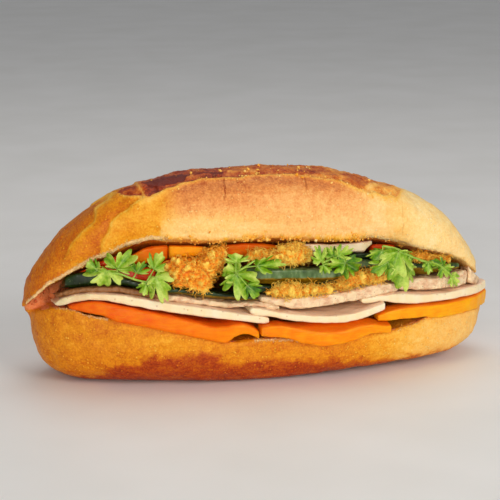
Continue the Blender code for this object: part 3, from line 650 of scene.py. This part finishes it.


# %% [markdown]
# Carrot is wet, hard and clear enough for light to glow inside it. Its colour runs from yellow-orange to
# red-orange, and faces that look up are painted redder still, for the warm light bounced onto them inside
# the sandwich. Fine lines run along the strip where the knife crossed its fibres. A fairly low roughness
# makes it look wet.

# %% Carrot
carrot = Finish("wet_carrot", {"Subsurface Weight": 0.25, "Subsurface Scale": 0.003,
                               "Subsurface Radius": (1.0, 0.30, 0.04), "Roughness": 0.40,
                               "Specular IOR Level": 0.16})
fibres = carrot.cloud(1.0, 3, carrot.stretched(0.12, 0.5, 1.6))
carrot_spots = carrot.cloud(5.0, 3)
carrot_colour = carrot.ramp(carrot.kept("tone") + (carrot_spots - 0.5) * 0.5 + (fibres - 0.5) * 0.30,
                            [(0.0, 250, 172, 20), (0.35, 244, 136, 0),
                             (0.7, 236, 92, 0), (1.0, 206, 50, 2)])
# painted light: faces that look up are painted redder for the warm light bounced onto them
painted_glow_on_top = carrot.rise(carrot.part(carrot.facing, "Z"), 0.45, 0.85)
carrot_colour = carrot.blend(painted_glow_on_top * 0.6, carrot_colour, paint(240, 88, 24))
make_slices("carrot", carrot.wear(carrot_colour, fibres * 0.2 + carrot_spots * 0.3),
            {"carrot_left": (0.66, 0.38), "carrot_middle": (0.40, 0.20), "carrot_right": (0.15, 0.05),
             "carrot_under_lip": (0.30, 0.60), "carrot_block": (0.15, 0.10), "carrot_long": (0.65, 0.10),
             "carrot_sliver": (0.9, 0.9)}, 0.4, 0.25, 0.05, 1.6)

# %% [markdown]
# Steamed pork roll is smooth, pale and dense. Its cut rim is cream with faint upright knife marks and a
# few tiny holes, which are painted darker for the shade in them. Its flat faces are painted pinker for the
# shade they lie in.

# %% Pork roll
pork_roll = Finish("pork_roll", {"Subsurface Weight": 0.2, "Subsurface Scale": 0.003,
                                 "Subsurface Radius": (1.0, 0.6, 0.35), "Roughness": 0.42})
knife_marks = pork_roll.cloud(6.0, 4, pork_roll.stretched(1.0, 1.0, 0.2))
# painted shade: the holes are painted darker for the shade in them
shaded_holes = pork_roll.rise(pork_roll.cells(2.6), 0.16, 0.06)
# painted shade: flat faces are tinted pink for the shade they lie in
painted_shade_on_flat_faces = pork_roll.rise(pork_roll.part(pork_roll.facing, "Z") ** 2, 0.35, 0.8)
roll_colour = pork_roll.ramp(knife_marks * 1.1 - 0.12 + pork_roll.kept("tone"),
                             [(0.2, 232, 190, 138), (0.5, 248, 222, 172),
                              (0.9, 250, 232, 200)])
roll_colour = pork_roll.blend(painted_shade_on_flat_faces * 0.7, roll_colour, paint(244, 200, 170))
roll_colour = pork_roll.blend(shaded_holes * 0.5, roll_colour, paint(205, 150, 100))
make_slices("pork_roll", pork_roll.wear(roll_colour, knife_marks * 0.8 - shaded_holes * 0.2),
            {"pork_roll_left": (0.05, 0.25), "pork_roll_middle": (0.20, 0.20),
             "pork_roll_right": (0.15, 0.25), "pork_roll_upper": (0.25, 0.25)}, 0.4, 0.35, 0.04, 1.9)

# %% [markdown]
# Roast pork is coarser. Its meat is grey-pink with pale fat between the fibres, patches are browned, and
# pepper and crust leave brown specks. Each slice's tone sets how brown it is; the leftmost slice is painted
# brown all over, partly for its browning and partly as painted shade. The edges of the slices are ragged,
# so the mesh gets deeper relief.

# %% Roast pork
roast = Finish("roast_pork", {"Subsurface Weight": 0.12, "Subsurface Scale": 0.002,
                              "Subsurface Radius": (1.0, 0.5, 0.3), "Roughness": 0.5})
meat_fibres = roast.cloud(1.4, 5, roast.stretched(0.5, 1.0, 1.2))
fat = roast.rise(roast.cloud(4.0, 4), 0.46, 0.56)
pepper = roast.rise(roast.cells(1.3), 0.20, 0.12) * roast.rise(roast.cloud(6.0, 2), 0.48, 0.60)
browned_and_shaded = roast.rise(roast.kept("tone") + (roast.cloud(3.0, 4) - 0.5) * 0.8, 0.55, 0.95)
meat_colour = roast.ramp(meat_fibres, [(0.25, 206, 150, 112), (0.5, 232, 192, 150),
                                       (0.75, 246, 220, 182)])
meat_colour = roast.blend(fat * 0.55, meat_colour, paint(250, 226, 180))
meat_colour = roast.blend(browned_and_shaded * 0.9, meat_colour, paint(140, 82, 18))
meat_colour = roast.blend(pepper * 0.7, meat_colour, paint(120, 76, 44))
# painted shade: roast_pork_left's tone above 1 browns it all over, for its browning and for the shade it
# lies in
make_slices("roast_pork", roast.wear(meat_colour, meat_fibres * 0.45 + fat * 0.2),
            {"roast_pork_left": (1.25, 1.15), "roast_pork_ragged": (0.10, 0.45),
             "roast_pork_middle": (0.40, 0.30), "roast_pork_right": (0.40, 0.35),
             "roast_pork_end": (0.60, 0.70)}, 0.4, 0.5, 0.35, 1.6)

# %% [markdown]
# The cucumber was cut lengthwise on a slant, so the front of each strip shows a band of rind above and a
# band of flesh below. The line between them is given for each strip. The rind's tone, given for each
# strip, paints light and shade into it: nearly black-green on strips that lie in the shade and a bloomed
# grey-green on strips that catch light. The flesh is painted olive for the warm shade inside the sandwich.

# %% Cucumber
cucumber = Finish("cucumber", {"Subsurface Weight": 0.1, "Subsurface Scale": 0.002,
                               "Subsurface Radius": (0.5, 1.0, 0.3), "Roughness": 0.34, "Coat Weight": 0.20,
                               "Coat Roughness": 0.2, "Specular IOR Level": 0.3})
rim = cucumber.kept("rind")
rind_dots = cucumber.rise(cucumber.cells(1.5), 0.22, 0.10)
rind_streaks = cucumber.cloud(3.0, 3, cucumber.stretched(1.0, 1.0, 0.5))
# painted light and shade: each strip's tone makes its rind nearly black-green in shade and bloomed
# grey-green where lit
rind = cucumber.ramp(cucumber.kept("tone") + (rind_streaks - 0.5) * 1.3,
                     [(0.0, 22, 38, 10), (0.35, 36, 62, 22), (0.7, 88, 116, 66),
                      (1.0, 136, 158, 116)])
rind = cucumber.blend(rind_dots * 0.25, rind, paint(150, 170, 110))
# painted shade: the flesh is olive for the warm shade inside the sandwich
flesh = cucumber.ramp(cucumber.cloud(1.5, 4), [(0.3, 122, 86, 4), (0.7, 168, 130, 22)])
cucumber_colour = cucumber.blend(rim, flesh, rind)
make_slices("cucumber", cucumber.wear(cucumber_colour, rind_streaks * 0.15 + rind_dots * 0.05),
            {"cucumber_left": (0.10, 0.15), "cucumber_low": (0.25, 0.15), "cucumber_middle": (0.60, 0.80),
             "cucumber_behind_floss": (0.30, 0.30), "cucumber_high_dark": (0.15, 0.15),
             "cucumber_high": (0.85, 0.85), "cucumber_right": (0.15, 0.45)}, 0.5, 0.3, 0.05, 1.4,
            {"cucumber_low": [(-48.8, 40.6), (-41, 40.5), (-33, 39.2), (-20, 37.6), (-8.8, 35.9)],
             "cucumber_middle": [(-21, 46.0), (-13, 45.2), (9, 44.1), (27, 43.2)],
             "cucumber_high": [(31, 46.4), (49, 45.4)],
             "cucumber_right": [(56, 44.4), (66, 43.0), (77, 41.2), (84, 40.8)]})

# %% [markdown]
# Tomato is soft, wet and translucent. It lies in the shade at the back of the mouth, where only its
# deep red shows between the leaves.

# %% Tomato
tomato = Finish("wet_tomato", {"Subsurface Weight": 0.25, "Subsurface Scale": 0.003,
                               "Subsurface Radius": (1.0, 0.2, 0.04), "Roughness": 0.26, "Coat Weight": 0.2,
                               "Coat Roughness": 0.1})
tomato_clouds, tomato_grain = tomato.cloud(4.0, 3), tomato.cloud(1.2, 3)
tomato_colour = tomato.ramp(tomato_clouds * 0.7 + tomato.kept("tone"),
                            [(0.2, 196, 40, 8), (0.55, 234, 70, 18),
                             (0.9, 246, 118, 56)])
make_slices("tomato", tomato.wear(tomato_colour, tomato_clouds * 0.4 + tomato_grain * 0.15),
            {"tomato_left": (0.15, 0.15), "tomato_far_left": (0.2, 0.2), "tomato_middle": (0.2, 0.2),
             "tomato_right": (0.1, 0.1)}, 0.5, 0.5, 0.2, 0.8)

# %% [markdown]
# Many small parts, such as leaflets, stalks and fibres, are worked out as arrays of points and faces and
# put together as one mesh. Tubes are made for many paths at once: a ring of points round each step of
# each path, and four-sided faces from ring to ring.

# %% Tools for stalks and fibres
def tubes(paths, radii, sides):
    """Points and faces of tubes along paths, given as an array of path by step by place."""
    along = np.gradient(paths, axis=1)
    along /= np.linalg.norm(along, axis=2, keepdims=True)
    side = np.cross(along, (0.31, 0.87, 0.23))
    side /= np.linalg.norm(side, axis=2, keepdims=True)
    up = np.cross(along, side)
    turn = 2 * np.pi * np.arange(sides) / sides
    ring = side[:, :, None] * np.cos(turn)[:, None] + up[:, :, None] * np.sin(turn)[:, None]
    points = paths[:, :, None] + radii[:, :, None, None] * ring
    index = np.arange(points.size // 3).reshape(points.shape[:3])
    near, far = index[:, :-1], index[:, 1:]
    faces = np.stack([near, np.roll(near, -1, 2), np.roll(far, -1, 2), far], -1)
    return points.reshape(-1, 3), faces.reshape(-1, 4)


def piece_of(name, parts):
    """One piece from parts, each given as points in millimetres, faces and numbers to keep by name."""
    points = np.concatenate([part[0] for part in parts])
    starts = np.cumsum([0] + [len(part[0]) for part in parts[:-1]])
    faces = [face for start, part in zip(starts, parts) for face in (part[1] + start).tolist()]
    mesh = bpy.data.meshes.new(name)
    mesh.from_pydata((points * MM).tolist(), [], faces)
    piece = bpy.data.objects.new(name, mesh)
    bpy.context.scene.collection.objects.link(piece)
    for label in parts[0][2]:
        values = [np.broadcast_to(part[2][label], len(part[0])) for part in parts]
        keep(piece, label, np.concatenate(values))
    return piece


def through(places, steps):
    """A smooth path through a few places."""
    places = np.array(places, float)
    share, marks = np.linspace(0, 1, steps), np.linspace(0, 1, len(places))
    path = np.stack([np.interp(share, marks, column) for column in places.T], 1)
    for _ in range(steps // 3):
        path[1:-1] = (path[:-2] + 2 * path[1:-1] + path[2:]) / 4
    return path


# %% [markdown]
# A coriander leaflet is a fan of rounded teeth on three lobes, with a pale vein up each lobe. It is
# laid out as rays from its stalk's end: the reach of each ray follows the teeth and notches, the blade
# is ruffled across the rays, and a second skin behind it gives it thickness. Each sprig is one piece.

# %% Grow the coriander
TEETH = [(-118, 0.70), (-92, 0.88), (-68, 0.98), (-46, 1.0), (-20, 0.92), (0, 1.0), (20, 0.92),
         (46, 1.0), (68, 0.98), (92, 0.88), (118, 0.70)]
NOTCHES = [(-130, 0.20), (-105, 0.48), (-80, 0.60), (-57, 0.72), (-33, 0.30), (-10, 0.76),
           (10, 0.76), (33, 0.30), (57, 0.74), (80, 0.60), (105, 0.48), (130, 0.20)]
MAIN_VEINS = (-68, 0, 68)
FAN = 130
LEAF_RAYS, LEAF_STEPS = 120, 9
STALK_END = 0.62
LEAF_SPREAD = 1.32
BLADE_HALF_THICKNESS = 0.14
STALK_STEPS, STALK_SIDES = 20, 8
LEAF_OFFSETS, LEAF_LEANS = (0.75, -0.65, 0.1), (0.06, -0.05, 0.1)
SPRIGS = {
    "coriander_left": (38.6, [(-71.5, 49.5), (-66.5, 50.5), (-60.7, 47.6), (-55.3, 46.4), (-50.2, 45.5)],
                       [(-76, 52.6, 2.6, 3.0, 0), (-64.5, 54.6, 6.0, 4.2, 1), (-71.9, 48.2, 6.2, 3.9, 0),
                        (-57.9, 52.6, 3.2, 2.8, 2), (-50.9, 54.4, 3.2, 3.9, 3), (-49.8, 44.9, 4.6, 5.6, 4),
                        (-56.0, 43.9, 2.6, 2.6, 3)]),
    "coriander_middle": (38.4, [(-19.5, 49.5), (-15.8, 51.4), (-11.6, 54.1)],
                         [(-19.5, 55.3, 4.4, 1.9, 0), (-20.6, 49.8, 3.6, 4.6, 0), (-17.8, 44.6, 6.6, 5.6, 0),
                          (-12.8, 42.0, 3.8, 3.2, 0), (-5.8, 51.7, 5.6, 3.1, 1)]),
    "coriander_curly": (38.2, [(16.8, 51.5), (22.4, 52.8), (26.8, 50.8)],
                        [(15.2, 54.8, 3.0, 3.6, 0), (20.6, 55.2, 2.6, 2.6, 1), (26.3, 54.9, 3.6, 2.9, 1),
                         (23.3, 50.8, 4.4, 3.6, 2), (29.9, 48.6, 4.4, 4.2, 2), (18.6, 48.9, 2.6, 2.4, 0)]),
    "coriander_dense": (38.4, [(43.6, 56.4), (50.6, 54.6), (56.3, 50.7), (61.2, 48.8)],
                        [(49.3, 49.0, 7.6, 5.8, 1), (53.2, 42.8, 5.6, 6.0, 2), (42.0, 52.6, 4.8, 2.6, 0),
                         (42.6, 47.9, 4.8, 3.4, 1)]),
    "coriander_right": (36.2, [(61.4, 48.2), (66.0, 46.6), (72.0, 44.8), (78.5, 38.6)],
                        [(66.0, 44.6, 3.0, 2.6, 1), (71.0, 45.4, 3.4, 2.4, 2), (75.2, 41.4, 3.8, 2.6, 2),
                         (79.6, 36.9, 2.6, 3.0, 3)]),
}

grow = random.Random(7)


def leaflet(leaf_x, leaf_z, half_wide, half_tall, out, heading, lean):
    """The points, faces and kept numbers of one leaflet that faces the front."""
    angle = np.linspace(-FAN, FAN, LEAF_RAYS)
    tip_angles = [tooth[0] + grow.uniform(-4, 4) for tooth in TEETH]
    notch_angles = [notch[0] for notch in NOTCHES]
    turns = sorted([(a, 1.0) for a in tip_angles] + [(a, 0.0) for a in notch_angles])
    climb = np.interp(angle, *zip(*turns))
    swell = np.sin(climb * np.pi / 2)
    deep = np.interp(angle, notch_angles, [notch[1] * grow.uniform(0.85, 1.15) for notch in NOTCHES])
    high = np.interp(angle, tip_angles, [tooth[1] * grow.uniform(0.86, 1.04) for tooth in TEETH])
    ray = np.radians(angle)
    circle = STALK_END * np.cos(ray) + np.sqrt(1 - (STALK_END * np.sin(ray)) ** 2)
    reach = (deep + (high - deep) * swell) * circle
    step = np.linspace(0.03, 1, LEAF_STEPS)[:, None]
    ahead, aside = step * reach * np.cos(ray) - STALK_END, step * reach * np.sin(ray)
    px = leaf_x + LEAF_SPREAD * half_wide * (ahead * math.cos(heading) - aside * math.sin(heading))
    pz = leaf_z + LEAF_SPREAD * half_tall * (ahead * math.sin(heading) + aside * math.cos(heading))
    size = (half_wide + half_tall) / 2
    off_vein = np.min([np.abs(ray - math.radians(a)) for a in MAIN_VEINS], axis=0)
    vein = np.exp(-((off_vein * step * reach * size / 0.15) ** 2)) * (1.1 - 0.9 * step)
    wave = np.sin(ray * grow.uniform(4, 6) + grow.uniform(0, 6))
    ruffle = step**1.5 * wave * 0.34 * size
    cup = (aside**2 - 0.4) * grow.uniform(-0.15, 0.3) * size + ahead**2 * grow.uniform(0, 0.25) * size
    py = -out * plan_at(px) - ruffle + cup + 0.12 * vein + lean * (pz - leaf_z)
    blade = np.stack([px, py, pz], -1).reshape(-1, 3)
    half = (BLADE_HALF_THICKNESS * (1.15 - step) * np.ones(LEAF_RAYS)).reshape(-1, 1) * (0, 1, 0)
    index = np.arange(len(blade)).reshape(LEAF_STEPS, LEAF_RAYS)
    quads = np.stack([index[:-1, :-1], index[:-1, 1:], index[1:, 1:], index[1:, :-1]], -1).reshape(-1, 4)
    edge = np.concatenate([index[0, ::-1], index[1:, 0], index[-1, 1:], index[-2:0:-1, -1]])
    rim = np.stack([edge, np.roll(edge, -1), np.roll(edge, -1) + len(blade), edge + len(blade)], -1)
    faces = np.concatenate([quads, quads[:, ::-1] + len(blade), rim])
    # painted light and shade: the tone follows the ruffle's wave, lighter where the blade is raised and
    # darker in its folds; it also grows towards the leaf's edge
    tone = grow.uniform(0.25, 0.75) + 0.30 * wave * step**1.5 + 0.25 * (step - 0.6)
    return (np.concatenate([blade - half, blade + half]), faces,
            {"vein": np.tile(vein.ravel(), 2), "tone": np.tile(tone.ravel(), 2)})


def stalk(places, thick, thin):
    """A stalk along places given as (x, z, distance out)."""
    path = through([(a, -out * float(plan_at(a)), b) for a, b, out in places], STALK_STEPS)
    points, faces = tubes(path[None], np.linspace(thick, thin, STALK_STEPS)[None], STALK_SIDES)
    return points, faces, {"vein": 0.6, "tone": 0.5}


leaf_green = Finish("coriander_leaf", {"Subsurface Weight": 0.15, "Subsurface Scale": 0.001,
                                       "Subsurface Radius": (0.5, 1.0, 0.1), "Roughness": 0.38,
                                       "Specular IOR Level": 0.35})
leaf_cloud = leaf_green.cloud(1.8, 3)
leaf_grain = leaf_green.cloud(0.7, 3)
leaf_tone = leaf_green.kept("tone") + (leaf_cloud - 0.5) * 0.85 + (leaf_grain - 0.5) * 0.3
leaf_colour = leaf_green.ramp(leaf_tone, [(0.0, 36, 80, 4), (0.25, 78, 128, 10),
                                          (0.5, 130, 172, 34), (0.9, 196, 220, 98)])
leaf_colour = leaf_green.blend(leaf_green.kept("vein") * 0.4, leaf_colour, paint(196, 216, 120))
coriander_finish = leaf_green.wear(leaf_colour, leaf_green.kept("vein") * -0.12 + leaf_grain * 0.06)

for name, (out, stem, leaves) in SPRIGS.items():
    parts = [stalk([(a, b, out) for a, b in stem], 0.5, 0.4)]
    for i, (leaf_x, leaf_z, half_wide, half_tall, joint) in enumerate(leaves):
        stands_out, lean = out + LEAF_OFFSETS[i % 3], LEAF_LEANS[i % 3]
        root_x, root_z = stem[joint]
        heading = math.atan2(leaf_z - root_z, leaf_x - root_x)
        base_x = leaf_x - LEAF_SPREAD * STALK_END * half_wide * math.cos(heading)
        base_z = leaf_z - LEAF_SPREAD * STALK_END * half_tall * math.sin(heading)
        parts.append(stalk([(root_x, root_z, out), (base_x, base_z, stands_out)], 0.36, 0.22))
        parts.append(leaflet(leaf_x, leaf_z, half_wide, half_tall, stands_out, heading, lean))
    finish_piece(piece_of(name + "_sprig", parts), coriander_finish, "coriander", name)

# %% [markdown]
# Pork floss is meat teased into fine fibres that curl up in clumps. Each tuft starts from its solid,
# roughened into a core of clumps, and about a thousand curling fibres are grown along its skin. A
# fibre's direction turns about an axis of its own as it grows, which is what makes it curl.

# %% Tease the floss
FIBRE_STEPS, FIBRE_SIDES = 11, 3
tease = np.random.default_rng(5)


def fibres_on(core, count, length_mm, radius_mm, standing):
    """Curled fibres that start on a core's skin. standing says how steeply they leave it."""
    points, normals = points_of(core), normals_of(core)
    start = tease.integers(0, len(points), count)
    direction = tease.normal(size=(count, 3))
    direction -= (direction * normals[start]).sum(1, keepdims=True) * normals[start]
    direction /= np.linalg.norm(direction, axis=1, keepdims=True)
    direction += standing * normals[start]
    direction /= np.linalg.norm(direction, axis=1, keepdims=True)
    axis = tease.normal(size=(count, 3))
    axis /= np.linalg.norm(axis, axis=1, keepdims=True)
    curl = tease.uniform(0.15, 0.65, (count, 1))
    stride = length_mm * tease.uniform(0.4, 1.2, (count, 1)) / FIBRE_STEPS
    place = points[start] - 0.1 * normals[start]
    path = [place]
    for _ in range(FIBRE_STEPS - 1):
        direction = direction + curl * np.cross(axis, direction)
        direction /= np.linalg.norm(direction, axis=1, keepdims=True)
        axis = axis + 0.2 * tease.normal(size=(count, 3))
        axis /= np.linalg.norm(axis, axis=1, keepdims=True)
        place = place + stride * direction
        path.append(place)
    taper = np.array([1.0] * (FIBRE_STEPS - 2) + [0.7, 0.15])
    radii = radius_mm * tease.uniform(0.6, 1.3, (count, 1)) * taper
    points, faces = tubes(np.stack(path, 1), radii, FIBRE_SIDES)
    toast = np.repeat(tease.beta(0.8, 4.4, count), FIBRE_STEPS * FIBRE_SIDES)
    return points, faces, {"toast": toast}


floss = Finish("pork_floss", {"Roughness": 0.7, "Subsurface Weight": 0.1, "Subsurface Scale": 0.001,
                              "Subsurface Radius": (1.0, 0.5, 0.2)})
floss_tone = floss.kept("toast") + (floss.cloud(2.2, 3) - 0.5) * 0.3
floss_colour = floss.ramp(floss_tone, [(0.0, 255, 212, 88), (0.3, 255, 170, 34),
                                       (0.6, 246, 136, 14), (0.85, 216, 104, 10),
                                       (1.0, 70, 28, 10)])
floss_finish = floss.wear(floss_colour, floss.cloud(0.5, 3) * 0.2)
TUFTS = {"floss_left": (1300, 0.0), "floss_upper": (900, -0.15), "floss_front": (700, -0.12),
         "floss_middle": (1100, -0.06), "floss_right": (700, 0.0)}
for node, (count, darker) in TUFTS.items():
    core = sewn_copy(node, node + "_tuft")
    refine(core, 0.4, 2)
    points, normals = points_of(core), normals_of(core)
    clumps = 2.6 * np.abs(grain(points, 3.2)) + 1.4 * np.abs(grain(points, 1.5)) - 0.6
    move_points(core, points + normals * (1.1 * clumps + 0.4 * grain(points, 4.0))[:, None])
    # painted shade: the core's toast rises in the hollows between clumps, darkening them as for shade, on
    # top of its toasting
    keep(core, "toast", darker + 0.48 - 0.55 * clumps + 0.2 * grain(points, 0.7))
    curls, wisps = fibres_on(core, count, 3.6, 0.14, 0.15), fibres_on(core, count // 8, 5.5, 0.12, 0.8)
    for fibres in (curls, wisps):
        fibres[2]["toast"] += darker + 0.08
    tuft = piece_of(node + "_fibres", [curls, wisps])
    pick(tuft, core)
    bpy.ops.object.join()
    finish_piece(core, floss_finish, "floss", node)

# %% [markdown]
# Where the crust burst and where the roll was torn open, small crumbs cling to it. Each is a sphere of
# twenty faces, knocked out of shape, flattened and turned at random. They are all one piece.

# %% Scatter crumbs along the ear and the lips
bpy.ops.mesh.primitive_ico_sphere_add(subdivisions=1, radius=1.0)
pip = bpy.context.object
pip_points = points_of(pip) * MM
pip_faces = np.array([face.vertices[:] for face in pip.data.polygons])
bpy.data.objects.remove(pip)
strew = np.random.default_rng(11)
TONE_SPREAD = 0.14
roll_normals = normals_of(roll)


def crumbs_on(weights, count, small_mm, large_mm, tone):
    """Crumbs on the roll's skin, most where the weights are greatest."""
    chosen = strew.choice(len(skin), count, p=weights / weights.sum())
    sizes = small_mm + (large_mm - small_mm) * strew.uniform(size=(count, 1, 1)) ** 2.5
    turns = np.linalg.qr(strew.normal(size=(count, 3, 3)))[0] * strew.uniform(0.5, 1.1, (count, 1, 3))
    dents = strew.uniform(0.7, 1.25, (count, len(pip_points), 1))
    centres = skin[chosen] + 0.25 * sizes[:, 0] * roll_normals[chosen]
    points = centres[:, None] + sizes * dents * (pip_points @ turns.transpose(0, 2, 1))
    faces = pip_faces + len(pip_points) * np.arange(count)[:, None, None]
    tones = tone + TONE_SPREAD * strew.normal(size=(count, 1)) * np.ones(len(pip_points))
    return points.reshape(-1, 3), faces.reshape(-1, 3), {"tone": tones.ravel()}


seen_side = rise(skin[:, 1], 0, -20)
upper_lip_edge = lip * rise(above_lip, -3, -1) * seen_side
crumb_places = [(ridge * seen_side * rise(x, -60, 30) + 0.01 * burst * seen_side, 170, 0.15, 0.8, 0.45),
                (burst * seen_side * rise(np.abs(x + 5), 40, 5), 60, 0.2, 1.0, 0.5),
                (upper_lip_edge, 150, 0.12, 0.45, 0.40),
                (tufted * seen_side, 260, 0.12, 1.0, 0.55),
                (lip * rise(below_lip, -3, -1) * seen_side, 120, 0.12, 0.4, 0.45)]
baked_crumb = Finish("baked_crumb", {"Roughness": 0.6, "Specular IOR Level": 0.3})
crumb_grain = baked_crumb.cloud(0.4, 3)
crumb_finish = baked_crumb.wear(
    baked_crumb.ramp(baked_crumb.kept("tone") + (crumb_grain - 0.5) * 0.4,
                     [(0.0, 255, 226, 160), (0.4, 252, 200, 100), (0.7, 246, 164, 36),
                      (1.0, 214, 112, 18)]), crumb_grain * 0.1)
crumbs = piece_of("clinging_crumbs", [crumbs_on(*place) for place in crumb_places])
finish_piece(crumbs, crumb_finish, "crust")

# %% [markdown]
# The table is a plain pale plane with a trace of grain.

# %% Lay the floor
bpy.ops.mesh.primitive_plane_add(size=8.0, location=(0, 0, 0))
floor = bpy.context.object
floor.name = "table_top"
table_top = Finish("pale_table", {"Roughness": 0.6})
floor.data.materials.append(table_top.wear(
    table_top.ramp(table_top.cloud(60, 2), [(0.3, 238, 236, 232), (0.7, 244, 242, 239)]),
    table_top.cloud(2, 2) * 0.02))
